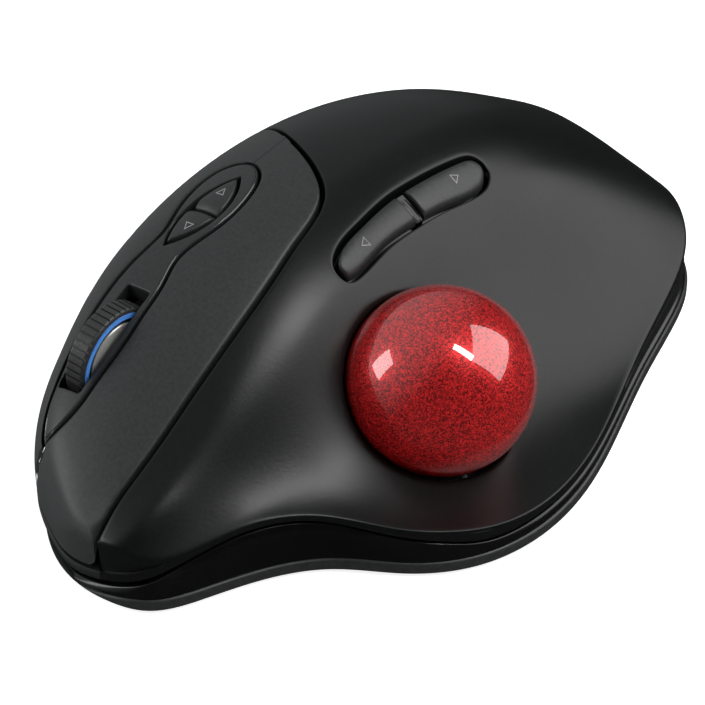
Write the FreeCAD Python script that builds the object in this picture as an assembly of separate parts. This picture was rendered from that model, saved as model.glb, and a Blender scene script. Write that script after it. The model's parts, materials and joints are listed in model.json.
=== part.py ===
import FreeCAD, Part
import math
import os

# Wireless thumb trackball mouse, in millimetres.  +Z is up, the two main keys are at the -Y end,
# the thumb and its ball are on the +X side, and Z = 0 is the surface that the rubber feet stand on.

V = FreeCAD.Vector

# ---------------------------------------------------------------- driving dimensions
FOOT_HEIGHT = 0.6            # rubber feet under the base plate
PLATE_TOP = 2.2              # inside floor of the base plate
FLANGE_TOP = 3.0             # top of the flared rim round the base plate
RIM_LOW = 1.7                # the same along the palm side
WALL = 2.0                   # thickness of the top shell
KEY_WALL = 1.8               # thickness of the two main keys
PANEL_GAP = 0.45             # visible gap between neighbouring panels, on each side of a seam
KEY_SPLIT = 0.15             # half the hairline between the two keys behind the wheel
PARTING_GAP = 0.9            # shadow gap between the top shell and the gloss wall
TONGUE_GAP = 0.3             # what is left open between the shell and the tongue behind that gap
PARTING_LOW = 3.0            # lower edge of the top shell along the palm side
STRIP_HEIGHT = 1.8           # height of the shell's edge band under the front keys
LIP_GAP = 1.0                # gap between that band and the keys' front lip
OUTER_SLOPE = 4.0            # slope of the body surface beyond its palm rim, outside the outline
WHOLE = (-52, 52, -75, 75)   # plan rectangles (x from, x to, y from, y to) that surfaces are built over
KEY_ZONE = (-51, 4, -75, 19)
ISLAND_ZONE = (-37, -16, -68, 5)
CAPSULE_ZONE = (-9, 13, -20, 39)
BALL_ZONE = (-2, 49, -34, 16)
FULL_HEIGHT = 60.0           # taller than anything in the object, for cutting prisms

DOOR_TABS = (-30.0, 6.0)     # where the two tabs of the battery door start

BALL_CENTRE = V(21.6, -8.9, 21.0)
BALL_RADIUS = 17.0           # the standard 34 mm thumb ball
BALL_GAP = 0.5               # gap between ball and shell opening
CUP_INNER = 17.6
CUP_OUTER = 19.0
BEARING_RADIUS = 1.0
BEARING_POLAR = math.radians(38.0)
PUSH_HOLE = 6.0              # finger hole below the ball

WHEEL_CENTRE = V(-26.1, -41.9, 24.3)
WHEEL_RADIUS = 9.8
WHEEL_WIDTH = 3.8
RING_OUTER = 8.8
RING_INNER = 7.9
AXLE_RADIUS = 0.8
RUNNING = 0.05               # radial clearance of a turning shaft
PIVOT = V(-26.1, -24.0, 14.2)   # carriage pivot, axis along X

BOARD_BOTTOM = 8.0           # main circuit board
BOARD_TOP = 9.6
SWITCH_TOP = 16.1            # top of the two key microswitches
TOUCH_GAP = 0.3              # rest gap between a plunger and what presses it

CELL_CENTRE = V(-11.0, 30.0, 10.0)   # AA cell, lying along X
CELL_RADIUS = 7.2
CELL_LENGTH = 49.5

TRAY_SLOPE = 6.0             # slant along the tray's top rear edge
TRAY_WALL = 1.2              # battery tray
TRAY_TOP = 18.8
FRAME_POST = 1.3             # radius of the post under the front of the island

# Plan outlines, each a closed smooth curve through its points.
FLANGE = [(-14.5, -69.6), (-4.5, -71.05), (4.2, -68.5), (10.3, -59.8), (15.4, -50.2), (22.6, -41.6),
          (33.8, -34.2), (42.2, -25.3), (46.8, -12), (46.5, 2), (42.8, 17), (38, 33), (34.5, 47),
          (29, 60.5), (16, 69.6), (-3, 71.05), (-20, 67.5), (-33.5, 57), (-43.2, 40), (-46.9, 22),
          (-46.9, 2), (-45.2, -18), (-40.4, -37), (-31.4, -54.5), (-23, -64.3)]
ISLAND = [(-25.3, -60.3), (-23.1, -57.5), (-22.1, -49.9), (-21.9, -43.9), (-22.2, -37.9), (-22.8, -30.9),
          (-23.8, -26.3), (-23.4, -22.8), (-21.8, -16.8), (-21.5, -11.2), (-22.6, -5.6), (-24.6, -2.2),
          (-27.3, -0.8), (-29.9, -1.8), (-32.2, -5.6), (-32.6, -10.6), (-31.6, -16.7), (-30.4, -21.7),
          (-30.6, -25.2), (-31.3, -29.7), (-31.5, -37.4), (-30.8, -45.2), (-29.2, -52.6), (-27.4, -58)]
CAPSULE = [(-2.3, -8.2), (-3, -2), (-3.1, 8), (-2.5, 14), (-1.7, 20), (-0.9, 25), (0.6, 28.6), (3, 29.2),
           (4.9, 27.4), (5.5, 23), (4.4, 16), (3.3, 7), (2.8, 0), (2.9, -7.6), (1.9, -10.6), (-0.4, -10.8)]
KEY_PLATE = [(-5.4, -76), (-5.2, -66), (-5.2, -58), (-5.3, -46), (-5.7, -30), (-6.6, -19), (-7.6, -12),
             (-8.6, -5.5), (-10.6, -0.8), (-14.5, 3), (-21, 7), (-28, 10.6), (-35, 13.4), (-41, 12.2),
             (-44, 5), (-44.6, -6), (-43.6, -18), (-41.6, -28), (-43, -36), (-48, -44), (-44, -60),
             (-30, -76)]
BOARD = [(-4, -62), (-2, 16), (-38, 16), (-40, 0), (-38, -24), (-33, -40), (-26.5, -53), (-20.5, -55),
         (-18, -62)]
DPI_TIPS = [V(-28.1, -24.8, 0), V(-26.7, -4.5, 0)]
DPI_SIDES = [V(-23.1, -15.1, 0), V(-30.2, -13.1, 0)]
DPI_SPLIT = -14.7            # the pair of small top buttons meets here
DPI_STEMS = (V(-26.6, -10.1, 0), V(-27.1, -19.4, 0))
SIDE_TIPS = (-1.0, 20.0)     # y of the forward and back button stems
SIDE_PLANE = 38.0            # height of the thumb buttons' shared top plane at x = 0.8
STEM_END = 5.7               # how far below that plane the stems reach
PLUNGER_TOP = STEM_END + TOUCH_GAP
BRIDGE_Y = 9.9               # the curved bridge between the two thumb buttons
BRIDGE_SWEEP = 30.0          # radius of its curve
SHELL_POSTS = [(9, -49), (-43.5, 12), (-22, 57), (18, 55), (38, 12)]
BOARD_POSTS = [(-8, -56), (-6, 12), (-34, 12), (-36, -14)]
FEET = [((-14, -60.5), 7.0, 3.5), ((36.5, -19), 4.0, 6.0), ((33.5, 24), 2.8, 6.0), ((-2, 62), 14.0, 3.5),
        ((-40.5, -4), 3.0, 12.0)]

SIDE_NORMAL = V(0.62, 0.0, 0.785).normalize()   # outward normal at the thumb-side buttons
SENSOR_AXIS = V(-math.sin(math.radians(60)), 0, -math.cos(math.radians(60)))


# ---------------------------------------------------------------- curves and the body surface
def natural_curve(*points):
    """A smooth function through (position, value) points: a natural cubic spline."""
    count = len(points)
    spans = [points[i + 1][0] - points[i][0] for i in range(count - 1)]
    slopes = [(points[i + 1][1] - points[i][1]) / spans[i] for i in range(count - 1)]
    upper = [0.0] * count
    right = [0.0] * count
    bend = [0.0] * count
    for i in range(1, count - 1):
        pivot = 2 * (spans[i - 1] + spans[i]) - spans[i - 1] * upper[i - 1]
        upper[i] = spans[i] / pivot
        right[i] = (6 * (slopes[i] - slopes[i - 1]) - spans[i - 1] * right[i - 1]) / pivot
    for i in range(count - 2, 0, -1):
        bend[i] = right[i] - upper[i] * bend[i + 1]

    def value(position):
        i = 0
        while i < count - 2 and position > points[i + 1][0]:
            i += 1
        before = points[i + 1][0] - position
        after = position - points[i][0]
        cubic = (bend[i] * before ** 3 + bend[i + 1] * after ** 3) / (6 * spans[i])
        first = (points[i][1] / spans[i] - bend[i] * spans[i] / 6) * before
        second = (points[i + 1][1] / spans[i] - bend[i + 1] * spans[i] / 6) * after
        return cubic + first + second
    return value


# Each of these is a function of y.  The crown is the highest line of the palm, the fold is the edge
# where the key side breaks over into the thumb dish, and the rims are where the two flanks run out.
# The palm share is how much of the palm flank's fall is spread over its whole width.
crown_x = natural_curve((-74, -4), (-68, -9), (-60, -14), (-45, -17.5), (-15, -15), (15, -10), (45, -7),
                        (74, -4))
crown_z = natural_curve((-74, 10.5), (-60, 20.5), (-45, 29), (-25, 37.4), (-5, 41.4), (12, 41.8), (28, 40.3),
                        (45, 35.1), (60, 26), (68, 18.4), (74, 6))
palm_rim_x = natural_curve((-74, -9), (-70, -13.4), (-68, -17), (-65, -22.4), (-61, -28.2), (-55.5, -33.4),
                           (-46, -38), (-36, -41.6), (-18, -45.4), (0, -47), (20, -47), (40, -43.4),
                           (57, -34), (66, -24.5), (74, -14))
palm_rim_z = natural_curve((-74, 5), (-65, 5.6), (-55, 7), (0, 8), (40, 8), (74, 6))
palm_share = natural_curve((-74, 0.2), (-50, 0.16), (-20, 0.2), (5, 0.27), (25, 0.42), (45, 0.6), (74, 0.62))
fold_x = natural_curve((-74, -2.5), (-66, 0.4), (-56, 1.9), (-42, 1.8), (-25, 2), (-8, 3), (15, 3.5), (40, 6.5),
                       (60, 10), (74, 12))
fold_z = natural_curve((-74, 11.5), (-66, 16.6), (-56, 20.2), (-42, 27), (-25, 34.5), (-8, 39.5), (15, 42),
                       (40, 37.8), (60, 27.6), (68, 20), (74, 8))
fold_soft = natural_curve((-74, 2), (-56, 2.2), (-42, 3), (-25, 6), (-8, 10), (15, 12), (40, 12), (74, 8))
dish_rim_x = natural_curve((-74, 11), (-60, 13), (-48, 19), (-36, 34), (-22, 46), (0, 49), (20, 47), (45, 41),
                           (60, 39), (74, 38))
dish_rim_z = natural_curve((-74, 8), (-66, 9.5), (-58, 12.2), (-50, 13.8), (-44, 13), (-37, 11.2), (-29, 10),
                           (-22, 8.9), (0, 8), (20, 7.8), (45, 8), (74, 8))
waist_rise = natural_curve((-80, 2), (-72, 5), (-70, 6.2), (-68, 7.6), (-65, 9.4), (-60, 11.2), (-54, 12.6),
                           (-49, 12.9), (-41, 11.5), (-36, 9.5), (-31, 8), (-24, 6.1), (-14, 5.6), (0, 5.3),
                           (15, 5), (74, 5))
dish_power = natural_curve((-74, 1.7), (-56, 1.8), (-42, 2), (-25, 2.3), (-8, 2.5), (15, 2.1), (40, 1.5),
                           (60, 1.15), (74, 1))


def soft_minimum(first, second, softness):
    return 0.5 * (first + second - math.sqrt((first - second) ** 2 + softness ** 2))


def height(x, y):
    """Height of the body's outer surface above the table."""
    top_x = crown_x(y)
    top_z = crown_z(y)
    if x < top_x:
        part = (top_x - x) / (top_x - palm_rim_x(y))
        low = palm_rim_z(y)
        if part > 1:
            return low - OUTER_SLOPE * (palm_rim_x(y) - x)
        share = palm_share(y)
        return top_z - (top_z - low) * (share * part ** 2.2 + (1 - share) * part ** 8)
    reach = fold_x(y) - top_x
    part = (x - top_x) / reach
    plate = top_z - (top_z - fold_z(y)) * 2 * part ** 2 / (1 + part ** 2)
    span = dish_rim_x(y) - fold_x(y)
    fall = fold_z(y) - dish_rim_z(y)

    def dish(place):
        left = max(0.0, 1 - (place - fold_x(y)) / span)
        return dish_rim_z(y) + fall * left ** dish_power(y)
    surface = soft_minimum(plate, dish(x), fold_soft(y))
    lift = top_z - soft_minimum(top_z, dish(top_x), fold_soft(y))
    return surface + lift * max(0.0, 1 - part ** 2) ** 2


def depth_below(x, y, thickness):
    """Height of the surface that lies a given thickness inside the body's skin."""
    step = 0.5
    slope_x = (height(x + step, y) - height(x - step, y)) / (2 * step)
    slope_y = (height(x, y + step) - height(x, y - step)) / (2 * step)
    stretch = min(2.0, math.sqrt(1 + slope_x ** 2 + slope_y ** 2))
    return height(x, y) - thickness * stretch


def nose_bulge(x, y):
    """How far the shell swells beyond its usual inset at the palm-side front corner."""
    return 2.4 * math.exp(-((x + 30) ** 2 + (y + 57) ** 2) / 121)


def toward_thumb(x):
    """A smooth step across the body, 0 on the palm side and 1 on the thumb side."""
    across = min(1.0, max(0.0, (x + 12) / 16))
    return across * across * (3 - 2 * across)


def rim_top(x, y):
    """Height of the base plate's flared rim, which thins out towards the palm side."""
    return RIM_LOW + (FLANGE_TOP - RIM_LOW) * toward_thumb(x)


def parting(x, y):
    """Height of the shell's lower edge, which rises over the waist in front of the thumb."""
    return PARTING_LOW + (waist_rise(y) - PARTING_LOW) * toward_thumb(x)


def wall_foot(x, y):
    """Foot of the gloss wall, just clear of the rim."""
    return rim_top(x, y) + 0.15


def strip_top(x, y):
    """Top of the shell's edge band under the front keys."""
    return parting(x, y) + STRIP_HEIGHT


def lip_bottom(x, y):
    """Lower edge of the keys' front lip."""
    return strip_top(x, y) + LIP_GAP


def groove_bottom(x, y):
    """Top edge of the gloss wall, below the shadow gap."""
    return parting(x, y) - PARTING_GAP


def tongue_top(x, y):
    """Top of the gloss wall's inner tongue, which nearly closes the shadow gap from behind."""
    return parting(x, y) - TONGUE_GAP


def solid_under(surface_height, zone=WHOLE, step_x=2.5, step_y=3.0):
    """Everything below a height function over a rectangle in plan, as one solid."""
    x0, x1, y0, y1 = zone
    columns = int((x1 - x0) / step_x)
    rows = int((y1 - y0) / step_y)
    dx = (x1 - x0) / columns
    dy = (y1 - y0) / rows
    grid = []
    for i in range(columns + 1):
        grid.append([surface_height(x0 + dx * i, y0 + dy * j) for j in range(rows + 1)])
    surface = Part.BSplineSurface()
    surface.interpolate(grid, x0, dx, y0, dy)
    return surface.toShape().extrude(V(0, 0, -2 * FULL_HEIGHT))


def below(thickness):
    """The height function that lies a given thickness inside the body's skin."""
    return lambda x, y: depth_below(x, y, thickness)


def lowered(distance):
    """The height function that lies straight down from the body's surface by a distance."""
    return lambda x, y: height(x, y) - distance


def lid(plan, zone, upper, lower):
    """The part of a plan prism that lies between two height functions."""
    return plan.cut(solid_under(lower, zone)).common(solid_under(upper, zone))


def closed_curve(points):
    curve = Part.BSplineCurve()
    curve.interpolate([V(x, y, 0) for x, y in points], PeriodicFlag=True)
    return curve


def grown(points, distance, count=72, extra=None):
    """The same outline moved outwards by a distance (inwards if it is negative), plus a local extra."""
    curve = closed_curve(points)
    first, last = curve.FirstParameter, curve.LastParameter
    area = 0.0
    places = []
    for i in range(count):
        at = first + (last - first) * i / count
        place = curve.value(at)
        along = curve.tangent(at)[0]
        places.append((place, V(along.y, -along.x, 0)))
    for i in range(count):
        here, following = places[i][0], places[(i + 1) % count][0]
        area += here.x * following.y - following.x * here.y
    sign = 1 if area > 0 else -1
    moved = []
    for p, n in places:
        reach = distance
        if extra:
            reach += extra(p.x, p.y)
        moved.append((p.x + n.x * reach * sign, p.y + n.y * reach * sign))
    return moved


def prism(points, low=-10.0, high=FULL_HEIGHT):
    face = Part.Face(Part.Wire(closed_curve(points).toShape()))
    face.translate(V(0, 0, low))
    return face.extrude(V(0, 0, high - low))


def polygon_prism(points, low=-10.0, high=FULL_HEIGHT):
    corners = [V(x, y, low) for x, y in points]
    face = Part.Face(Part.makePolygon(corners + corners[:1]))
    return face.extrude(V(0, 0, high - low))


def box(x0, x1, y0, y1, z0, z1):
    return Part.makeBox(x1 - x0, y1 - y0, z1 - z0, V(x0, y0, z0))


def rod_x(radius, x0, x1, y, z):
    return Part.makeCylinder(radius, x1 - x0, V(x0, y, z), V(1, 0, 0))


def post(radius, x, y, z0, z1):
    return Part.makeCylinder(radius, z1 - z0, V(x, y, z0))


def rounded_slab(centre, half_x, half_y, corner, z0, z1):
    """A slab with rounded corners in plan."""
    x, y = centre
    long_way = box(x - half_x + corner, x + half_x - corner, y - half_y, y + half_y, z0, z1)
    cross_way = box(x - half_x, x + half_x, y - half_y + corner, y + half_y - corner, z0, z1)
    slab = long_way.fuse(cross_way)
    for side in (-1, 1):
        for end in (-1, 1):
            slab = slab.fuse(post(corner, x + side * (half_x - corner), y + end * (half_y - corner), z0, z1))
    return slab.removeSplitter()


def placed(shape, origin, direction):
    """Stand a shape that was made on +Z at an origin, with its Z along a direction."""
    copy = shape.copy()
    copy.Placement = FreeCAD.Placement(origin, FreeCAD.Rotation(V(0, 0, 1), direction))
    return copy


def save(name, shape):
    solids = shape.Solids
    whole = solids[0] if len(solids) == 1 else Part.makeCompound(solids)
    whole.exportStep("parts/" + name + ".step")
    print("%-24s solids %d  valid %s  volume %.1f" % (name, len(solids), whole.isValid(), whole.Volume))


# ---------------------------------------------------------------- shared cutting bodies
SHELL = grown(FLANGE, -0.9, extra=nose_bulge)
WALL_LINE = grown(FLANGE, -1.7)
under_skin = solid_under(height)
shell_block = under_skin.common(prism(SHELL))


def slow_solid(surface_height):
    """Everything below a height function that changes slowly over the whole plan."""
    return solid_under(surface_height, WHOLE, 8.0, 8.0)


def layer(block, thickness):
    """The outer skin of a block, a given thickness deep, with side walls."""
    inner = solid_under(below(thickness))
    return block.cut(inner.common(prism(grown(SHELL, -thickness))))


def dpi_prism(clearance, low=-10.0):
    """The lens-shaped plan of the two small top buttons, grown by a clearance."""
    front, rear = DPI_TIPS
    stretch = V(0, clearance * 1.6, 0)
    near = DPI_SIDES[0] + V(clearance, 0, 0)
    far = DPI_SIDES[1] - V(clearance, 0, 0)
    arcs = [Part.Arc(front - stretch, near, rear + stretch), Part.Arc(rear + stretch, far, front - stretch)]
    face = Part.Face(Part.Wire([arc.toShape() for arc in arcs]))
    face.translate(V(0, 0, low))
    return face.extrude(V(0, 0, FULL_HEIGHT - low))


# ---------------------------------------------------------------- housing
def make_top_shell(skin):
    key_opening = prism(KEY_PLATE).cut(slow_solid(strip_top))
    shell = skin.cut(slow_solid(parting)).cut(key_opening).cut(prism(CAPSULE))
    shell = shell.cut(Part.makeSphere(BALL_RADIUS + BALL_GAP, BALL_CENTRE))
    inside = under_skin.common(box(-80, 80, -90, 90, PLATE_TOP, FULL_HEIGHT))
    shell = shell.cut(tray_room())
    for x, y in SHELL_POSTS:
        boss = post(2.4, x, y, PLATE_TOP, FULL_HEIGHT).common(inside)
        shell = shell.fuse(boss.cut(Part.makeSphere(CUP_OUTER + 0.3, BALL_CENTRE)))
        shell = shell.cut(post(1.0, x, y, 0, 6.2))
    return shell


def base_body():
    """The flared rim and the floor of the base, before any holes."""
    rim = prism(FLANGE, FOOT_HEIGHT, FULL_HEIGHT).common(slow_solid(rim_top))
    return rim.fuse(prism(grown(FLANGE, -4.7), FOOT_HEIGHT, PLATE_TOP))


def make_gloss_wall():
    """The glossy band round the foot of the body, with a taller tongue along its inner side."""
    ring = prism(WALL_LINE).cut(prism(grown(WALL_LINE, -2.6)))
    ring = ring.common(slow_solid(tongue_top)).cut(slow_solid(wall_foot))
    step = prism(grown(WALL_LINE, 2.0)).cut(prism(grown(WALL_LINE, -1.5)))
    ring = ring.cut(step.cut(slow_solid(groove_bottom)))
    for x, y in SHELL_POSTS:
        ring = ring.cut(post(2.6, x, y, 0, 20))
    return ring.cut(tray_room()).cut(post(FRAME_POST + 0.4, -26.2, -56, 0, 20))


def make_base_plate():
    plate = base_body()
    plate = plate.cut(prism(grown(FLANGE, -5.2), PLATE_TOP, 10))
    door = door_size(0.4)
    plate = plate.cut(box(door[0], door[1], door[2], door[3], 0, 10))
    plate = plate.cut(post(PUSH_HOLE + 0.3, BALL_CENTRE.x, BALL_CENTRE.y, 0, 10))
    plate = plate.cut(box(-19.7, -16.3, -9.9, -3.6, 0, 10))
    for x, y in SHELL_POSTS:
        plate = plate.cut(post(1.1, x, y, 0, 10)).cut(post(2.4, x, y, 0, 1.4))
        plate = plate.cut(post(2.7, x, y, PLATE_TOP, 10))
    for x, y in BOARD_POSTS:
        plate = plate.fuse(post(2.0, x, y, PLATE_TOP, BOARD_BOTTOM))
        plate = plate.cut(post(0.8, x, y, 4, 10))
    return plate.removeSplitter()


def door_size(clearance):
    return (-39 - clearance, 17 + clearance, 20.8 - clearance, 39.2 + clearance)


def tray_form(clearance, foot, top):
    """A block round the cell, sloped along its top rear edge where the shell comes down."""
    x0, x1, y0, y1 = door_size(clearance)
    corners = [V(x0, y0, foot), V(x0, y1, foot), V(x0, y1, top - TRAY_SLOPE)]
    corners += [V(x0, y1 - TRAY_SLOPE, top), V(x0, y0, top), V(x0, y0, foot)]
    return Part.Face(Part.makePolygon(corners)).extrude(V(x1 - x0, 0, 0))


def tray_room():
    """The space that the housing leaves free for the battery tray."""
    return tray_form(TRAY_WALL + 0.3, 0, TRAY_TOP + 0.3)


def make_island():
    """The panel between the keys, with its wheel slot and its button opening."""
    top = lid(prism(grown(ISLAND, -0.5)), ISLAND_ZONE, height, below(WALL))
    slot = rounded_slab((-26.1, -43.2), 2.6, 9.8, 0.6, 0, FULL_HEIGHT)
    return top.cut(slot).cut(dpi_prism(0.35))


def make_island_trim():
    band = prism(ISLAND).cut(prism(grown(ISLAND, -0.5)))
    return lid(band, ISLAND_ZONE, lowered(0.15), lowered(1.9))


def key_half(side):
    """Plan region of one key: side is +1 for the thumb side, -1 for the other."""
    shift = side * KEY_SPLIT
    split = [(-26.5 + shift, -30), (-27.2 + shift, -1), (-28 + shift, 18)]
    if side > 0:
        return polygon_prism([(20, -80), (-60, -80), (-60, -61.8), (-25.1, -61.4)] + split + [(20, 18)])
    return polygon_prism([(-60, -60.8), (-25.1, -60.4)] + split + [(-60, 18)])


def make_key(skin, side, press_x, press_y):
    plan = prism(grown(KEY_PLATE, -2 * PANEL_GAP)).common(key_half(side)).cut(prism(grown(ISLAND, PANEL_GAP)))
    key = skin.common(plan).cut(slow_solid(lip_bottom))
    stem = post(1.6, press_x, press_y, SWITCH_TOP + 1.0 + TOUCH_GAP, FULL_HEIGHT)
    return key.fuse(stem.common(solid_under(below(KEY_WALL * 0.5), KEY_ZONE)))


def make_island_frame():
    rib = box(-28, -25.6, -20.6, -3.4, BOARD_TOP, 29.2)
    room = solid_under(below(WALL + 0.2), ISLAND_ZONE)
    front = post(FRAME_POST, -26.2, -56, PLATE_TOP, FULL_HEIGHT).common(room)
    return Part.makeCompound([rib, front])


# ---------------------------------------------------------------- trackball
def make_ball_cup():
    cup = Part.makeSphere(CUP_OUTER, BALL_CENTRE).cut(Part.makeSphere(CUP_INNER, BALL_CENTRE))
    room = solid_under(below(WALL + 0.15), BALL_ZONE)
    cup = cup.common(room).common(prism(grown(SHELL, -WALL - 1.8)))
    cup = cup.cut(post(PUSH_HOLE, BALL_CENTRE.x, BALL_CENTRE.y, 0, 20))
    window = Part.makeCylinder(2.2, 10, BALL_CENTRE + SENSOR_AXIS * 12, SENSOR_AXIS)
    cup = cup.cut(window)
    for centre in bearing_centres():
        cup = cup.cut(Part.makeSphere(BEARING_RADIUS + 0.03, centre))
    return max(cup.Solids, key=lambda solid: solid.Volume)


def bearing_centres():
    reach = BALL_RADIUS + BEARING_RADIUS + 0.02
    centres = []
    for turn in (90, 210, 330):
        angle = math.radians(turn)
        flat = reach * math.sin(BEARING_POLAR)
        offset = V(flat * math.cos(angle), flat * math.sin(angle), -reach * math.cos(BEARING_POLAR))
        centres.append(BALL_CENTRE + offset)
    return centres


def sensor_piece(half_width, near, far):
    block = box(-half_width, half_width, -half_width, half_width, 0, far - near)
    return placed(block, BALL_CENTRE + SENSOR_AXIS * near, SENSOR_AXIS)


# ---------------------------------------------------------------- scroll wheel and its carriage
def wheel_disc(radius, bore, width):
    x, y, z = WHEEL_CENTRE
    disc = rod_x(radius, x - width / 2, x + width / 2, y, z)
    return disc.cut(rod_x(bore, x - width, x + width, y, z))


def make_wheel_tyre():
    x, y, z = WHEEL_CENTRE
    tyre = wheel_disc(WHEEL_RADIUS, RING_OUTER, WHEEL_WIDTH)
    rims = [e for e in tyre.Edges if abs(e.Length - 2 * math.pi * WHEEL_RADIUS) < 0.5]
    tyre = tyre.makeFillet(0.55, rims)
    ribs = 44
    groove = box(x - WHEEL_WIDTH, x + WHEEL_WIDTH, -0.2, 0.2, WHEEL_RADIUS - 0.25, WHEEL_RADIUS + 1)
    cuts = []
    for i in range(ribs):
        cut = groove.copy()
        cut.rotate(V(0, 0, 0), V(1, 0, 0), 360.0 * i / ribs)
        cut.translate(V(0, y, z))
        cuts.append(cut)
    return tyre.cut(Part.makeCompound(cuts))


def make_hub_caps():
    x, y, z = WHEEL_CENTRE
    caps = []
    for side in (-1, 1):
        inner = x + side * 1.4
        cap = rod_x(5.6, min(inner, inner + side * 0.5), max(inner, inner + side * 0.5), y, z)
        caps.append(cap.cut(rod_x(AXLE_RADIUS, x - 5, x + 5, y, z)))
    return Part.makeCompound(caps)


def make_carriage():
    x, y, z = WHEEL_CENTRE
    floor = box(-29.9, -21.9, -50, -22.6, 12.6, 13.8)
    ear = box(-22, -18.6, -45, -38.8, 12.6, 13.8)
    shape = floor.fuse(ear)
    for x0 in (-29.9, -22.9):
        shape = shape.fuse(box(x0, x0 + 1.0, -50, -22.6, 12.6, 16.2))
        shape = shape.fuse(box(x0, x0 + 1.0, y - 3, y + 3, 12.6, z))
        shape = shape.fuse(rod_x(1.35, x0, x0 + 1.0, y, z))
    shape = shape.fuse(rod_x(2.0, -29.9, -21.9, PIVOT.y, PIVOT.z))
    shape = shape.cut(rod_x(1.0 + RUNNING, -40, -10, PIVOT.y, PIVOT.z))
    shape = shape.cut(rod_x(AXLE_RADIUS + RUNNING, -40, -10, y, z)).removeSplitter()
    return shape.common(solid_under(below(WALL + 0.7), ISLAND_ZONE))


def make_encoder_body():
    y, z = WHEEL_CENTRE.y, WHEEL_CENTRE.z
    block = box(-21.6, -18.8, y - 2.2, y + 2.2, 13.8, z - 1.6)
    return block.cut(box(-20.85, -19.75, y - 5, y + 5, z - 3.6, z + 5))


def make_encoder_rotor():
    y, z = WHEEL_CENTRE.y, WHEEL_CENTRE.z
    disc = rod_x(3.0, -20.6, -20.0, y, z).cut(rod_x(AXLE_RADIUS, -25, -15, y, z))
    window = box(-22, -18, -0.28, 0.28, 1.9, 2.6)
    for i in range(12):
        cut = window.copy()
        cut.rotate(V(0, 0, 0), V(1, 0, 0), 30.0 * i)
        cut.translate(V(0, y, z))
        disc = disc.cut(cut)
    return disc


def make_wheel_bracket():
    posts = []
    for x0 in (-31.4, -21.5):
        cheek = box(x0, x0 + 1.1, -26, -22, BOARD_TOP, 16.6)
        posts.append(cheek.cut(rod_x(1.0, -40, -10, PIVOT.y, PIVOT.z)))
    return Part.makeCompound(posts)


# ---------------------------------------------------------------- buttons on the thumb side
def capsule_part(points, side):
    """The plan of one thumb button: the capsule less its gap, on one side of the curved bridge."""
    disc = post(BRIDGE_SWEEP, -0.8, BRIDGE_Y + side * 1.1 - BRIDGE_SWEEP, -10, FULL_HEIGHT)
    plan = prism(grown(points, -0.9))
    return plan.common(disc) if side < 0 else plan.cut(disc)


def side_stack(tip_y, depth):
    """A point on a thumb button's axis, so far below the buttons' shared top plane."""
    return V(0.8, tip_y, SIDE_PLANE) - SIDE_NORMAL * depth


def make_side_button(side, tip_y):
    """One thumb button with the stem that presses its switch."""
    cap = lid(capsule_part(CAPSULE, side), CAPSULE_ZONE, height, below(1.6))
    stem = Part.makeCylinder(1.1, STEM_END - 1.2, side_stack(tip_y, 1.2), SIDE_NORMAL * -1)
    return cap.fuse(stem.common(solid_under(below(0.8), CAPSULE_ZONE))).removeSplitter()


def make_bezel():
    """The dark tray under the thumb buttons, with the curved bridge between them."""
    tray = lid(prism(grown(CAPSULE, 1.3)), CAPSULE_ZONE, below(2.5), below(3.3))
    between = prism(grown(CAPSULE, -0.9))
    for side in (-1, 1):
        between = between.cut(capsule_part(CAPSULE, side))
    outer = post(BRIDGE_SWEEP + 0.75, -0.8, BRIDGE_Y - BRIDGE_SWEEP, -10, FULL_HEIGHT)
    inner = post(BRIDGE_SWEEP - 0.75, -0.8, BRIDGE_Y - BRIDGE_SWEEP, -10, FULL_HEIGHT)
    tray = tray.fuse(lid(between.common(outer).cut(inner), CAPSULE_ZONE, below(0.8), below(3.3)))
    for tip_y in SIDE_TIPS:
        tray = tray.cut(Part.makeCylinder(1.6, 12, side_stack(tip_y, 0), SIDE_NORMAL * -1))
    return max(tray.Solids, key=lambda solid: solid.Volume)


def make_dpi_button(side):
    """One of the two small lens-shaped buttons in the island, with its stem."""
    cap = lid(dpi_prism(0.0), ISLAND_ZONE, lowered(-0.3), lowered(2.0))
    keep = box(-40, -10, DPI_SPLIT + 0.3, 10, 0, FULL_HEIGHT)
    if side < 0:
        keep = box(-40, -10, -40, DPI_SPLIT - 0.3, 0, FULL_HEIGHT)
    at = DPI_STEMS[0] if side > 0 else DPI_STEMS[1]
    stem = post(1.2, at.x, at.y, 32.6 + TOUCH_GAP, height(at.x, at.y) - 1.0)
    return cap.common(keep).fuse(stem).removeSplitter()


# ---------------------------------------------------------------- electronics, battery and base
def microswitch(x0, y0, plunger_y):
    body = box(x0, x0 + 5.8, y0, y0 + 12.8, BOARD_TOP, SWITCH_TOP)
    return body.cut(box(x0 + 1.8, x0 + 4.0, plunger_y - 0.9, plunger_y + 0.9, SWITCH_TOP - 1.2, 20))


def microswitch_plunger(x0, plunger_y):
    return box(x0 + 2.1, x0 + 3.7, plunger_y - 0.6, plunger_y + 0.6, SWITCH_TOP - 0.6, SWITCH_TOP + 1.0)


def make_battery_tray():
    y1 = door_size(TRAY_WALL)[3]
    shape = tray_form(TRAY_WALL, PLATE_TOP, TRAY_TOP).cut(tray_form(0.0, 0, TRAY_TOP - TRAY_WALL))
    for x in DOOR_TABS:
        shape = shape.cut(box(x - 0.4, x + 5.4, y1 - 1.5, y1 + 1, 0, 3.6))
    return shape


def make_battery():
    x, y, z = CELL_CENTRE
    can = rod_x(CELL_RADIUS, x - CELL_LENGTH / 2, x + CELL_LENGTH / 2 - 1, y, z)
    return can.fuse(rod_x(2.7, x + CELL_LENGTH / 2 - 2, x + CELL_LENGTH / 2, y, z))


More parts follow.
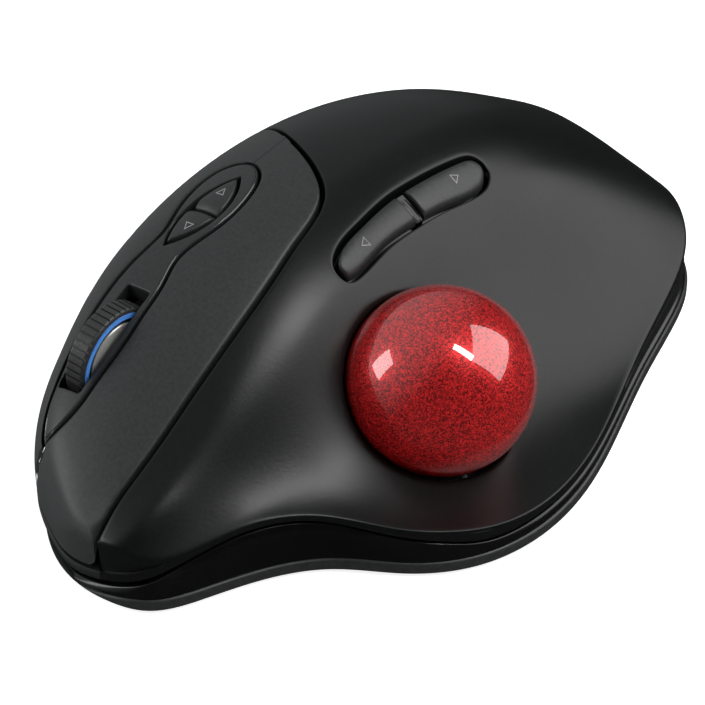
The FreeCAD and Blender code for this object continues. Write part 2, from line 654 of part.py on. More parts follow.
def make_negative_spring():
    """Conical contact spring, a stack of coils joined by its backing plate."""
    x, y, z = CELL_CENTRE
    start = x - CELL_LENGTH / 2
    shape = box(-38.9, -38.4, y - 5, y + 5, z - 5, z + 5)
    helix = Part.makeHelix(0.85, start + 38.4 - 0.5, 3.4)
    helix.Placement = FreeCAD.Placement(V(-38.2, y, z), FreeCAD.Rotation(V(0, 0, 1), V(1, 0, 0)))
    first = helix.Edges[0]
    place = first.valueAt(first.FirstParameter)
    along = first.tangentAt(first.FirstParameter)
    profile = Part.Wire(Part.Circle(place, along, 0.25).toShape())
    coil = Part.Wire(helix.Edges).makePipeShell([profile], True, True)
    return Part.makeCompound([shape, coil])


def make_battery_door():
    x0, x1, y0, y1 = door_size(0.0)
    door = box(x0, x1, y0, y1, FOOT_HEIGHT, PLATE_TOP)
    for x in DOOR_TABS:
        door = door.fuse(box(x, x + 5, y1 - 2.6, y1 - 0.6, PLATE_TOP, PLATE_TOP + 1.1))
        door = door.fuse(box(x, x + 5, y1 - 0.6, y1 + 0.9, PLATE_TOP + 0.3, PLATE_TOP + 1.1))
    clip = box(-14, -8, y0 + 0.4, y0 + 1.2, PLATE_TOP, 4.4)
    grip = rounded_slab((-11, y0 + 3.4), 4.0, 1.2, 0.5, 0, FOOT_HEIGHT + 0.5)
    return door.fuse(clip).cut(grip)


def make_power_slider():
    knob = box(-19.2, -16.8, -9.4, -6.6, 0.35, 4.4)
    flange = box(-20.6, -15.4, -10.4, -5.6, PLATE_TOP + 0.2, PLATE_TOP + 1.0)
    return knob.fuse(flange)


def make_case_screws():
    screws = []
    for x, y in SHELL_POSTS:
        head = post(2.1, x, y, 0.7, 1.4)
        recess = box(x - 1.4, x + 1.4, y - 0.25, y + 0.25, 0, 1.0)
        cross = box(x - 0.25, x + 0.25, y - 1.4, y + 1.4, 0, 1.0)
        screws.append(head.cut(recess).cut(cross).fuse(post(0.85, x, y, 1.4, 5.8)))
    return Part.makeCompound(screws)


def make_board_screws():
    screws = []
    for x, y in BOARD_POSTS:
        head = post(1.8, x, y, BOARD_TOP, BOARD_TOP + 1.2)
        slot = box(x - 1.2, x + 1.2, y - 0.25, y + 0.25, BOARD_TOP + 0.7, 20)
        screws.append(head.cut(slot).fuse(post(0.75, x, y, 4.2, BOARD_TOP)))
    return Part.makeCompound(screws)


def make_main_board():
    board = polygon_prism(BOARD, BOARD_BOTTOM, BOARD_TOP)
    for x, y in BOARD_POSTS:
        board = board.cut(post(0.8, x, y, 0, 20))
    return board


def make_feet():
    feet = []
    for centre, half_x, half_y in FEET:
        feet.append(rounded_slab(centre, half_x, half_y, 2.4, 0.0, FOOT_HEIGHT))
    return Part.makeCompound(feet)


def main():
    os.makedirs("parts", exist_ok=True)
    skin = layer(shell_block, WALL)
    key_skin = layer(shell_block, KEY_WALL)

    save("top_shell", make_top_shell(skin))
    save("gloss_wall", make_gloss_wall())
    save("base_plate", make_base_plate())
    save("wheel_island", make_island())
    save("island_trim", make_island_trim())
    save("island_frame", make_island_frame())
    save("side_button_bezel", make_bezel())
    save("left_key", make_key(key_skin, 1, -10.1, -46.5))
    save("right_key", make_key(key_skin, -1, -35.3, -29.7))

    save("trackball", Part.makeSphere(BALL_RADIUS, BALL_CENTRE))
    save("ball_cup", make_ball_cup())
    save("ball_bearings", Part.makeCompound([Part.makeSphere(BEARING_RADIUS, c) for c in bearing_centres()]))
    save("sensor_lens", sensor_piece(2.6, 19.1, 20.6))
    save("sensor_chip", sensor_piece(3.2, 20.8, 22.0))
    save("sensor_board", sensor_piece(5.4, 22.0, 23.2))

    save("wheel_tyre", make_wheel_tyre())
    save("wheel_ring", wheel_disc(RING_OUTER, RING_INNER, WHEEL_WIDTH + 0.3))
    save("wheel_hub", wheel_disc(RING_INNER, AXLE_RADIUS, 2.8))
    save("hub_caps", make_hub_caps())
    save("wheel_axle", rod_x(AXLE_RADIUS, -29.9, -19.4, WHEEL_CENTRE.y, WHEEL_CENTRE.z))
    save("encoder_rotor", make_encoder_rotor())
    save("encoder_body", make_encoder_body())
    save("wheel_carriage", make_carriage())
    save("carriage_pin", rod_x(1.0, -31.4, -20.4, PIVOT.y, PIVOT.z))
    save("wheel_bracket", make_wheel_bracket())

    save("dpi_up_button", make_dpi_button(-1))
    save("dpi_down_button", make_dpi_button(1))
    save("forward_button", make_side_button(-1, SIDE_TIPS[0]))
    save("back_button", make_side_button(1, SIDE_TIPS[1]))

    save("left_microswitch", microswitch(-13, -50, -46.5))
    save("right_microswitch", microswitch(-38.2, -33, -29.7))
    save("middle_switch", box(-28.9, -22.9, -50, -44, BOARD_TOP, 11.2).cut(post(1.75, -25.9, -47, 10.4, 20)))
    save("left_plunger", microswitch_plunger(-13, -46.5))
    save("right_plunger", microswitch_plunger(-38.2, -29.7))
    save("middle_plunger", post(1.6, -25.9, -47, 11.3, 12.6 - TOUCH_GAP))

    save("button_board", box(-30.6, -22.6, -22, -4.4, 29.2, 30.4))
    for name, at in (("down", DPI_STEMS[0]), ("up", DPI_STEMS[1])):
        tact = box(at.x - 2.6, at.x + 2.6, at.y - 2.6, at.y + 2.6, 30.4, 31.9)
        save("dpi_%s_switch" % name, tact.cut(post(1.35, at.x, at.y, 31.2, 40)))
        save("dpi_%s_plunger" % name, post(1.2, at.x, at.y, 32.0, 32.6))
    middle = 0.5 * (SIDE_TIPS[0] + SIDE_TIPS[1])
    side_board = box(-4, 4, -15, 15, 0, 1.2)
    save("side_board", placed(side_board, side_stack(middle, PLUNGER_TOP + 3.5), SIDE_NORMAL))
    for name, tip_y in (("forward", SIDE_TIPS[0]), ("back", SIDE_TIPS[1])):
        tact = box(-2.6, 2.6, -2.6, 2.6, 0, 1.6).cut(post(1.35, 0, 0, 0.9, 3))
        save(name + "_switch", placed(tact, side_stack(tip_y, PLUNGER_TOP + 2.3), SIDE_NORMAL))
        plunger = post(1.1, 0, 0, 0, 0.6)
        save(name + "_plunger", placed(plunger, side_stack(tip_y, PLUNGER_TOP + 0.6), SIDE_NORMAL))

    save("main_board", make_main_board())
    save("controller_chip", box(-19, -12, 2, 9, BOARD_TOP, BOARD_TOP + 1.0))
    save("board_ribbon", box(-5.4, -5.1, 4.8, 9.6, BOARD_TOP, 29.6))
    save("power_switch", box(-21, -15, -12, -3, 4.6, BOARD_BOTTOM))
    save("power_slider", make_power_slider())
    save("battery_tray", make_battery_tray())
    save("battery", make_battery())
    save("positive_contact", box(14.2, 14.7, 25, 35, 5, 15))
    save("negative_contact", make_negative_spring())
    save("battery_door", make_battery_door())
    save("board_screws", make_board_screws())
    save("case_screws", make_case_screws())
    save("rubber_feet", make_feet())


main()
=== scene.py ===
import json
import math

import bmesh
import bpy
import numpy as np
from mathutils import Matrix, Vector, geometry, kdtree


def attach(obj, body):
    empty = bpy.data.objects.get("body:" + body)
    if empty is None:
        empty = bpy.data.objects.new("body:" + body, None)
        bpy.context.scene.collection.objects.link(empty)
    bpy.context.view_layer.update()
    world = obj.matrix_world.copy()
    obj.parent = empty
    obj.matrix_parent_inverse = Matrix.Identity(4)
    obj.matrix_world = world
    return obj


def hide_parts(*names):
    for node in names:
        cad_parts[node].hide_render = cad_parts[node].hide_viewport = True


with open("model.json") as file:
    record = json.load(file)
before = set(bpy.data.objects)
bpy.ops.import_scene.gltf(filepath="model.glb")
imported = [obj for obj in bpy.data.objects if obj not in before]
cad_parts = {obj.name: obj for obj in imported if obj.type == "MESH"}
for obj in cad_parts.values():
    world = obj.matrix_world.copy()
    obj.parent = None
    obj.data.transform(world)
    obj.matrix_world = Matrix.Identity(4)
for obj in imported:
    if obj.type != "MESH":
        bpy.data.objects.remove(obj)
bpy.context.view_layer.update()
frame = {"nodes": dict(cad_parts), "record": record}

# Looks of a wireless thumb trackball mouse.  Shapes are worked out in millimetres and scaled when
# their meshes are made.  +Z is up, the keys are at the -Y end and the ball is on the +X side.
MM = 0.001

# Housing
FLOOR_GAP = 0.6              # the feet lift the underside this far
FLANGE_TOP = 3.0             # top of the flared rim on the thumb side
SHELL_INSET = 0.9            # the shell's outline lies this far inside the rim's
UNDERSIDE_INSET = 2.9        # the flat underside's outline lies this far inside the rim's
PARTING_GAP = 0.9            # dark groove between the shell and the glossy wall
STRIP_HEIGHT = 2.0           # height of the shell's edge band
BAND_STEP = 0.4              # how far the edge band stands proud of the side above it
EDGE_ROLL = 0.45             # rounding along the edges of the shell and the keys
ON_LINE = 0.06               # a point this close to an outline lies on it
CRISP = math.radians(38.0)   # corners sharper than this stay crisp, gentler ones are shaded smooth
DOOR_OPENING = (-39.4, 17.4, 20.4, 39.6)     # low and high x, low and high y
POWER_OPENING = (-19.7, -16.3, -9.9, -3.6)
PUSH_OPENING = (21.6, -8.9, 6.3)             # x, y and radius of the hole under the ball
SCREW_PLACES = [(9, -49), (-43.5, 12), (-22, 57), (18, 55), (38, 12)]
SCREW_RECESS = 2.4

# Keys and the island between them
PANEL_GAP = 0.45             # gap between the keys and the island
HAIRLINE = 0.04              # half the line between the keys behind the island, and its edges' rounding
SPLIT = [(-26.5, -30), (-27.2, -1), (-28, 18)]
LIP_GAP = 1.0                # gap under the keys' front lips
LIP_CORNER = 1.6             # rounding of the lips' lower corners beside the shell
NOSE_ROLL = 1.5              # extra rounding where the left key turns down at the nose
SHADE_LINER_DEPTH = 3.4            # how far below the keys' faces a dark sheet closes the view; the sheet is painted shade for the gaps between the keys
ISLAND_INSET = 0.45          # the island's top lies this far inside its outline, within the trim
SLOT = (-26.1, -43.2, 2.6, 9.8, 0.6)         # wheel slot: centre, half sizes, corner radius

# Small buttons
DPI_SPLIT = -14.7            # the two buttons behind the wheel meet at this y
DPI_GAP = 0.28               # half the gap between them
DPI_CENTRE_X = -26.6
DPI_MARK = (-26.7, 4.6)      # x of both marks and their distance from the split
BUTTON_GAP = 0.9             # gap round the thumb buttons
BRIDGE_Y = 9.9               # middle of the curved bridge between the thumb buttons
BRIDGE_SWEEP = 30.0          # its radius in plan
MARK_LIFT = 0.05

# Wheel and ball
WHEEL_CENTRE = (-26.1, -41.9, 24.3)
CAP_RADIUS = 6.6             # flat part of the wheel's side caps
CAP_CROWN = 0.12             # how far the caps bulge
BALL_CENTRE = (21.6, -8.9, 21.0)
BALL_RADIUS = 17.0
BALL_GAP = 0.6

# Studio: the floor in millimetres, like every mesh, the rest in metres and the lamps' power in watts
FLOOR_HALF = 3000.0
CAMERA_PLACE = (0.2556, -0.3311, 0.3860)
CAMERA_TARGET = (0.004, -0.009, 0.018)
CAMERA_LENS = 157.3
CAMERA_SHIFT = -0.0121
SOFTBOXES = [("right", (0.5, 0.5, 0.5), (0.02, -0.01, 0.03), 0.75, 0.68, 5.0),
             ("ridge", (0.42, 0.1, 0.85), (0.0, -0.02, 0.03), 0.12, 0.4, 3.0),
             ("left_front", (-0.66, -0.52, 0.34), (0.02, -0.01, 0.03), 0.3, 0.4, 1.8)]
BRIGHT_SIDE = (-0.85, -0.1, 0.5)             # the surroundings are lightest towards here

# Outlines in plan
FLANGE = [(-14.5, -69.6), (-4.5, -71.05), (4.2, -68.5), (10.3, -59.8), (15.4, -50.2), (22.6, -41.6),
          (33.8, -34.2), (42.2, -25.3), (46.8, -12), (46.5, 2), (42.8, 17), (38, 33), (34.5, 47),
          (29, 60.5), (16, 69.6), (-3, 71.05), (-20, 67.5), (-33.5, 57), (-43.2, 40), (-46.9, 22),
          (-46.9, 2), (-45.2, -18), (-40.4, -37), (-31.4, -54.5), (-23, -64.3)]
ISLAND = [(-25.3, -60.3), (-23.1, -57.5), (-22.1, -49.9), (-21.9, -43.9), (-22.2, -37.9), (-22.8, -30.9),
          (-23.8, -26.3), (-23.4, -22.8), (-21.8, -16.8), (-21.5, -11.2), (-22.6, -5.6), (-24.6, -2.2),
          (-27.3, -0.8), (-29.9, -1.8), (-32.2, -5.6), (-32.6, -10.6), (-31.6, -16.7), (-30.4, -21.7),
          (-30.6, -25.2), (-31.3, -29.7), (-31.5, -37.4), (-30.8, -45.2), (-29.2, -52.6), (-27.4, -58)]
CAPSULE = [(-2.3, -8.2), (-3, -2), (-3.1, 8), (-2.5, 14), (-1.7, 20), (-0.9, 25), (0.6, 28.6), (3, 29.2),
           (4.9, 27.4), (5.5, 23), (4.4, 16), (3.3, 7), (2.8, 0), (2.9, -7.6), (1.9, -10.6), (-0.4, -10.8)]
KEY_PLATE = [(-5.4, -76), (-5.2, -66), (-5.2, -58), (-5.3, -46), (-5.7, -30), (-6.6, -19), (-7.6, -12),
             (-8.6, -5.5), (-10.6, -0.8), (-14.5, 3), (-21, 7), (-28, 10.6), (-35, 13.4), (-41, 12.2),
             (-44, 5), (-44.6, -6), (-43.6, -18), (-41.6, -28), (-43, -36), (-48, -44), (-44, -60),
             (-30, -76)]


# ---------------------------------------------------------------- the body surface
def natural_curve(*points):
    """A smooth function through (position, value) points: a natural cubic spline."""
    count = len(points)
    spans = [points[i + 1][0] - points[i][0] for i in range(count - 1)]
    slopes = [(points[i + 1][1] - points[i][1]) / spans[i] for i in range(count - 1)]
    upper = [0.0] * count
    right = [0.0] * count
    bend = [0.0] * count
    for i in range(1, count - 1):
        pivot = 2 * (spans[i - 1] + spans[i]) - spans[i - 1] * upper[i - 1]
        upper[i] = spans[i] / pivot
        right[i] = (6 * (slopes[i] - slopes[i - 1]) - spans[i - 1] * right[i - 1]) / pivot
    for i in range(count - 2, 0, -1):
        bend[i] = right[i] - upper[i] * bend[i + 1]

    def value(position):
        i = 0
        while i < count - 2 and position > points[i + 1][0]:
            i += 1
        before = points[i + 1][0] - position
        after = position - points[i][0]
        cubic = (bend[i] * before ** 3 + bend[i + 1] * after ** 3) / (6 * spans[i])
        first = (points[i][1] / spans[i] - bend[i] * spans[i] / 6) * before
        second = (points[i + 1][1] / spans[i] - bend[i + 1] * spans[i] / 6) * after
        return cubic + first + second
    return value


crown_x = natural_curve((-74, -4), (-68, -9), (-60, -14), (-45, -17.5), (-15, -15), (15, -10), (45, -7),
                        (74, -4))
crown_z = natural_curve((-74, 10.5), (-60, 20.5), (-45, 29), (-25, 37.4), (-5, 41.4), (12, 41.8), (28, 40.3),
                        (45, 35.1), (60, 26), (68, 18.4), (74, 6))
palm_rim_x = natural_curve((-74, -9), (-70, -13.4), (-68, -17), (-65, -22.4), (-61, -28.2), (-55.5, -33.4),
                           (-46, -38), (-36, -41.6), (-18, -45.4), (0, -47), (20, -47), (40, -43.4),
                           (57, -34), (66, -24.5), (74, -14))
palm_rim_z = natural_curve((-74, 5), (-65, 5.6), (-55, 7), (0, 8), (40, 8), (74, 6))
palm_share = natural_curve((-74, 0.2), (-50, 0.16), (-20, 0.2), (5, 0.27), (25, 0.42), (45, 0.6), (74, 0.62))
fold_x = natural_curve((-74, -2.5), (-66, 0.4), (-56, 1.9), (-42, 1.8), (-25, 2), (-8, 3), (15, 3.5),
                       (40, 6.5), (60, 10), (74, 12))
fold_z = natural_curve((-74, 11.5), (-66, 16.6), (-56, 20.2), (-42, 27), (-25, 34.5), (-8, 39.5), (15, 42),
                       (40, 37.8), (60, 27.6), (68, 20), (74, 8))
fold_soft = natural_curve((-74, 0.8), (-60, 1.0), (-48, 2.2), (-25, 6), (-8, 10), (15, 12), (40, 12), (74, 8))
dish_rim_x = natural_curve((-74, 11), (-60, 13), (-48, 19), (-36, 34), (-22, 46), (0, 49), (20, 47), (45, 41),
                           (60, 39), (74, 38))
dish_rim_z = natural_curve((-74, 8), (-66, 9.5), (-58, 12.2), (-50, 13.8), (-44, 13), (-37, 11.2), (-29, 10),
                           (-22, 8.9), (0, 8), (20, 7.8), (45, 8), (74, 8))
waist_rise = natural_curve((-80, 2), (-72, 5), (-70, 6.2), (-68, 7.6), (-65, 9.4), (-60, 11.2), (-54, 12.6),
                           (-49, 12.9), (-41, 11.5), (-36, 9.5), (-31, 8), (-24, 6.1), (-14, 5.6), (0, 5.3),
                           (15, 5), (74, 5))
dish_power = natural_curve((-74, 1.7), (-56, 1.8), (-42, 2), (-25, 2.3), (-8, 2.5), (15, 2.1), (40, 1.5),
                           (60, 1.15), (74, 1))
palm_foot = natural_curve((-80, 0.9), (-66, 0.9), (-55, 1.8), (-45, 2.8), (-35, 3), (74, 3))
rim_low = natural_curve((-80, 0.75), (-62, 0.75), (-45, 1.6), (-35, 1.7), (74, 1.7))


def soft_minimum(first, second, softness):
    return 0.5 * (first + second - math.sqrt((first - second) ** 2 + softness ** 2))


def height(x, y):
    """Height of the body's outer surface above the table."""
    top_x = crown_x(y)
    top_z = crown_z(y)
    if x < top_x:
        part = min(1.0, (top_x - x) / (top_x - palm_rim_x(y)))
        low = palm_rim_z(y)
        share = palm_share(y)
        return top_z - (top_z - low) * (share * part ** 2.2 + (1 - share) * part ** 8)
    reach = fold_x(y) - top_x
    part = (x - top_x) / reach
    plate = top_z - (top_z - fold_z(y)) * 2 * part ** 2 / (1 + part ** 2)
    span = dish_rim_x(y) - fold_x(y)
    fall = fold_z(y) - dish_rim_z(y)

    def dish(place):
        left = max(0.0, 1 - (place - fold_x(y)) / span)
        return dish_rim_z(y) + fall * left ** dish_power(y)
    surface = soft_minimum(plate, dish(x), fold_soft(y))
    lift = top_z - soft_minimum(top_z, dish(top_x), fold_soft(y))
    return surface + lift * max(0.0, 1 - part ** 2) ** 2


def smooth_step(start, end, at):
    part = min(1.0, max(0.0, (at - start) / (end - start)))
    return part * part * (3 - 2 * part)


def parting(x, y):
    """Lower edge of the shell: low on the palm side, risen over the waist in front of the thumb."""
    return palm_foot(y) + (waist_rise(y) - palm_foot(y)) * smooth_step(-18, 4, x)


def rim_top(x, y):
    """Top of the flared rim, which grows thin towards the palm side of the nose."""
    return rim_low(y) + (FLANGE_TOP - rim_low(y)) * smooth_step(-11, 4, x)


def lip_bottom(x, y):
    """Foot of the keys' front lips, above the shell's edge band."""
    return parting(x, y) + STRIP_HEIGHT + LIP_GAP


def nose_bulge(x, y):
    """How far the shell swells outwards at the palm side of the nose."""
    return 2.4 * math.exp(-((x + 30) ** 2 + (y + 57) ** 2) / 121)


# ---------------------------------------------------------------- plan outlines
def smooth_loop(points, spacing=0.8):
    """Even points along a closed smooth curve through the given ones: a periodic cubic spline."""
    count = len(points)
    here = np.array(points, float)
    following = np.roll(here, -1, axis=0)
    span = np.linalg.norm(following - here, axis=1)
    before = np.roll(span, 1)
    matrix = np.zeros((count, count))
    for i in range(count):
        matrix[i, i - 1] += before[i]
        matrix[i, i] += 2 * (before[i] + span[i])
        matrix[i, (i + 1) % count] += span[i]
    slope = (following - here) / span[:, None]
    bend = np.linalg.solve(matrix, 6 * (slope - np.roll(slope, 1, axis=0)))
    loop = []
    for i in range(count):
        steps = max(2, int(round(span[i] / spacing)))
        h = span[i]
        first, second = bend[i], bend[(i + 1) % count]
        for k in range(steps):
            after = h * k / steps
            left = h - after
            cubic = (first * left ** 3 + second * after ** 3) / (6 * h)
            value = cubic + (here[i] / h - first * h / 6) * left
            value = value + (following[i] / h - second * h / 6) * after
            loop.append((float(value[0]), float(value[1])))
    return loop


def normals(loop):
    """Outward unit normals of a closed loop of plan points."""
    points = np.array(loop)
    along = np.roll(points, -1, axis=0) - np.roll(points, 1, axis=0)
    out = np.stack([along[:, 1], -along[:, 0]], axis=1)
    out /= np.linalg.norm(out, axis=1)[:, None] + 1e-12
    nxt = np.roll(points, -1, axis=0)
    area = np.sum(points[:, 0] * nxt[:, 1] - nxt[:, 0] * points[:, 1])
    return out if area > 0 else -out


def grown(loop, distance, extra=None):
    """The loop moved outwards by a distance, or inwards by a negative one."""
    out = normals(loop)
    moved = []
    for (x, y), n in zip(loop, out):
        reach = distance + (extra(x, y) if extra else 0.0)
        moved.append((x + n[0] * reach, y + n[1] * reach))
    return moved


def inside(points, loop):
    """Which of the points lie inside a closed loop."""
    x, y = points[:, 0:1], points[:, 1:2]
    a = np.array(loop)
    b = np.roll(a, -1, axis=0)
    rise = b[:, 1] - a[:, 1]
    rise = np.where(np.abs(rise) < 1e-12, 1e-12, rise)
    crosses = (a[:, 1] > y) != (b[:, 1] > y)
    meet = (b[:, 0] - a[:, 0]) * (y - a[:, 1]) / rise + a[:, 0]
    return np.sum(crosses & (x < meet), axis=1) % 2 == 1


class Border:
    """Measures how far plan points are from a set of short segments."""

    def __init__(self, segments):
        self.segments = segments
        self.tree = kdtree.KDTree(len(segments))
        for i, (a, b) in enumerate(segments):
            self.tree.insert(((a[0] + b[0]) / 2, (a[1] + b[1]) / 2, 0), i)
        self.tree.balance()

    def distance(self, x, y):
        best = 1e9
        for _, index, _ in self.tree.find_n((x, y, 0), 4):
            (ax, ay), (bx, by) = self.segments[index]
            dx, dy = bx - ax, by - ay
            size = dx * dx + dy * dy + 1e-12
            t = min(1.0, max(0.0, ((x - ax) * dx + (y - ay) * dy) / size))
            best = min(best, math.hypot(x - ax - t * dx, y - ay - t * dy))
        return best


def loop_segments(loop):
    return [(loop[i], loop[(i + 1) % len(loop)]) for i in range(len(loop))]


def plan_mesh(loops, keep, pitch, rings):
    """Triangles over the part of the plan that keep accepts, with rings of points beside its edges."""
    points, edges, segments, beside = [], [], [], []
    for loop in loops:
        first = len(points)
        points += loop
        edges += [(first + i, first + (i + 1) % len(loop)) for i in range(len(loop))]
        segments += loop_segments(loop)
        for ring in rings:
            for side in (-ring, ring):
                beside += [(x, y, ring * 0.8) for x, y in grown(loop, side)]
    span = np.array(points)
    low, high = span.min(0), span.max(0)
    rows = int((high[1] - low[1]) / (pitch * 0.87)) + 1
    columns = int((high[0] - low[0]) / pitch) + 1
    for j in range(rows):
        for i in range(columns):
            place = (low[0] + pitch * (i + 0.5 * (j % 2)), low[1] + pitch * 0.87 * j)
            beside.append((place[0], place[1], rings[-1] + 0.4 * pitch))
    beside = np.array(beside)
    beside = beside[keep(beside[:, :2])]
    border = Border(segments)
    free = [(x, y) for x, y, clear in beside if border.distance(x, y) >= clear]
    every = [Vector(p) for p in points + free]
    made, _, faces, _, _, _ = geometry.delaunay_2d_cdt(every, edges, [], 0, 1e-4)
    made = np.array([tuple(p) for p in made])
    faces = np.array(faces)
    centres = made[faces].mean(axis=1)
    faces = faces[keep(centres)]
    a, b, c = made[faces[:, 0]], made[faces[:, 1]], made[faces[:, 2]]
    area = (b[:, 0] - a[:, 0]) * (c[:, 1] - a[:, 1]) - (b[:, 1] - a[:, 1]) * (c[:, 0] - a[:, 0])
    kept = [(f, s) for f, s in zip(faces.tolist(), area) if abs(s) > 1e-7]
    faces = [tuple(f) if s > 0 else (f[0], f[2], f[1]) for f, s in kept]
    return made, faces


def make_object(name, vertices, faces, smooth=True):
    """A mesh piece in the scene, from points in millimetres, with its sharp corners kept crisp."""
    mesh = bpy.data.meshes.new(name)
    mesh.from_pydata([(x * MM, y * MM, z * MM) for x, y, z in vertices], [], faces)
    mesh.validate()
    shape = bmesh.new()
    shape.from_mesh(mesh)
    for face in shape.faces:
        face.smooth = smooth
    for edge in shape.edges:
        if len(edge.link_faces) == 2 and edge.calc_face_angle(0.0) > CRISP:
            edge.smooth = False
    shape.to_mesh(mesh)
    shape.free()
    obj = bpy.data.objects.new(name, mesh)
    bpy.context.scene.collection.objects.link(obj)
    return obj


def panel(name, loops, keep, top, roll, skirt, rings, pitch=1.5):
    """A skin over a region of the plan: its edges roll over by a radius and then run down a skirt."""
    plan, faces = plan_mesh(loops, keep, pitch, rings)
    counts = {}
    for face in faces:
        for i in range(3):
            edge = (face[i], face[(i + 1) % 3])
            counts[edge] = counts.get(edge, 0) + 1
    outline = [e for e in counts if (e[1], e[0]) not in counts]
    border = Border([(tuple(plan[a]), tuple(plan[b])) for a, b in outline])
    on_edge = set(v for edge in outline for v in edge)
    used = sorted(set(v for face in faces for v in face))
    index = {v: i for i, v in enumerate(used)}
    vertices = []
    for v in used:
        x, y = plan[v]
        radius = roll(x, y)
        away = 0.0 if v in on_edge else border.distance(x, y)
        drop = 0.0
        if away < radius:
            drop = radius - math.sqrt(radius ** 2 - (radius - away) ** 2)
        vertices.append((x, y, top(x, y) - drop))
    faces = [tuple(index[v] for v in face) for face in faces]
    chains = {}
    for v in on_edge:
        start = vertices[index[v]]
        below = skirt(*start)
        chains[v] = [index[v]] + list(range(len(vertices), len(vertices) + len(below)))
        vertices += below
    for a, b in outline:
        rows = max(len(chains[a]), len(chains[b])) - 1
        for i in range(rows):
            left = [chains[a][(i + k) * (len(chains[a]) - 1) // rows] for k in (0, 1)]
            right = [chains[b][(i + k) * (len(chains[b]) - 1) // rows] for k in (0, 1)]
            corners = [right[0], left[0], left[1], right[1]]
            faces.append(tuple(dict.fromkeys(corners)))
    return make_object(name, vertices, faces)


def band(name, loop, profile):
    """A strip all round a loop: profile(x, y) lists its (outset, height) pairs."""
    out = normals(loop)
    vertices, faces = [], []
    for (x, y), n in zip(loop, out):
        rows = profile(x, y)
        for outset, z in rows:
            vertices.append((x + n[0] * outset, y + n[1] * outset, z))
    size = len(rows)
    count = len(loop)
    for i in range(count):
        j = (i + 1) % count
        for k in range(size - 1):
            faces.append((i * size + k + 1, j * size + k + 1, j * size + k, i * size + k))
    return make_object(name, vertices, faces)


# ---------------------------------------------------------------- materials
def new_material(name):
    material = bpy.data.materials.new(name)
    material.use_nodes = True
    nodes = material.node_tree.nodes
    return material, nodes, material.node_tree.links, nodes["Principled BSDF"]


def grained(name, colour, rough, grain, bump, spread=0.25, metallic=0.0, coat=0.0, rough_spread=0.08,
            specular=0.5):
    """A moulded or sprayed finish: fine grain in its height, and soft variation in tone and gloss."""
    material, nodes, links, shader = new_material(name)
    place = nodes.new("ShaderNodeTexCoord")
    fine = nodes.new("ShaderNodeTexNoise")
    fine.inputs["Scale"].default_value = grain
    fine.inputs["Detail"].default_value = 3.0
    broad = nodes.new("ShaderNodeTexNoise")
    broad.inputs["Scale"].default_value = 45.0
    broad.inputs["Detail"].default_value = 2.0
    links.new(place.outputs["Object"], fine.inputs["Vector"])
    links.new(place.outputs["Object"], broad.inputs["Vector"])
    ramp = nodes.new("ShaderNodeValToRGB")
    ramp.color_ramp.elements[0].position = 0.3
    ramp.color_ramp.elements[1].position = 0.7
    ramp.color_ramp.elements[0].color = [c * (1 - spread) for c in colour] + [1]
    ramp.color_ramp.elements[1].color = [min(1.0, c * (1 + spread)) for c in colour] + [1]
    links.new(fine.outputs["Fac"], ramp.inputs["Fac"])
    links.new(ramp.outputs["Color"], shader.inputs["Base Color"])
    spread_map = nodes.new("ShaderNodeMapRange")
    spread_map.inputs["To Min"].default_value = max(0.0, rough - rough_spread)
    spread_map.inputs["To Max"].default_value = rough + rough_spread
    links.new(broad.outputs["Fac"], spread_map.inputs["Value"])
    links.new(spread_map.outputs["Result"], shader.inputs["Roughness"])
    if bump:
        relief = nodes.new("ShaderNodeBump")
        relief.inputs["Strength"].default_value = bump
        relief.inputs["Distance"].default_value = 0.0002
        links.new(fine.outputs["Fac"], relief.inputs["Height"])
        links.new(relief.outputs["Normal"], shader.inputs["Normal"])
    shader.inputs["Metallic"].default_value = metallic
    shader.inputs["Coat Weight"].default_value = coat
    shader.inputs["Coat Roughness"].default_value = 0.05
    shader.inputs["Specular IOR Level"].default_value = specular
    return material


def glitter(name):
    """Deep red flakes under a clear gloss coat."""
    material, nodes, links, shader = new_material(name)
    place = nodes.new("ShaderNodeTexCoord")
    flakes = nodes.new("ShaderNodeTexVoronoi")
    flakes.inputs["Scale"].default_value = 4200.0
    links.new(place.outputs["Object"], flakes.inputs["Vector"])
    tone = nodes.new("ShaderNodeSeparateColor")
    links.new(flakes.outputs["Color"], tone.inputs["Color"])
    ramp = nodes.new("ShaderNodeValToRGB")
    ramp.color_ramp.elements[0].position = 0.15
    ramp.color_ramp.elements[1].position = 0.95
    ramp.color_ramp.elements[0].color = (0.2, 0.0008, 0.001, 1)
    ramp.color_ramp.elements[1].color = (0.98, 0.02, 0.022, 1)
    links.new(tone.outputs["Red"], ramp.inputs["Fac"])
    links.new(ramp.outputs["Color"], shader.inputs["Base Color"])
    tilt = nodes.new("ShaderNodeBump")
    tilt.inputs["Strength"].default_value = 0.5
    tilt.inputs["Distance"].default_value = 0.0002
    links.new(tone.outputs["Green"], tilt.inputs["Height"])
    links.new(tilt.outputs["Normal"], shader.inputs["Normal"])
    shader.inputs["Metallic"].default_value = 0.5
    shader.inputs["Roughness"].default_value = 0.36
    shader.inputs["Coat IOR"].default_value = 1.75
    shader.inputs["Coat Weight"].default_value = 1.0
    shader.inputs["Coat Roughness"].default_value = 0.02
    return material


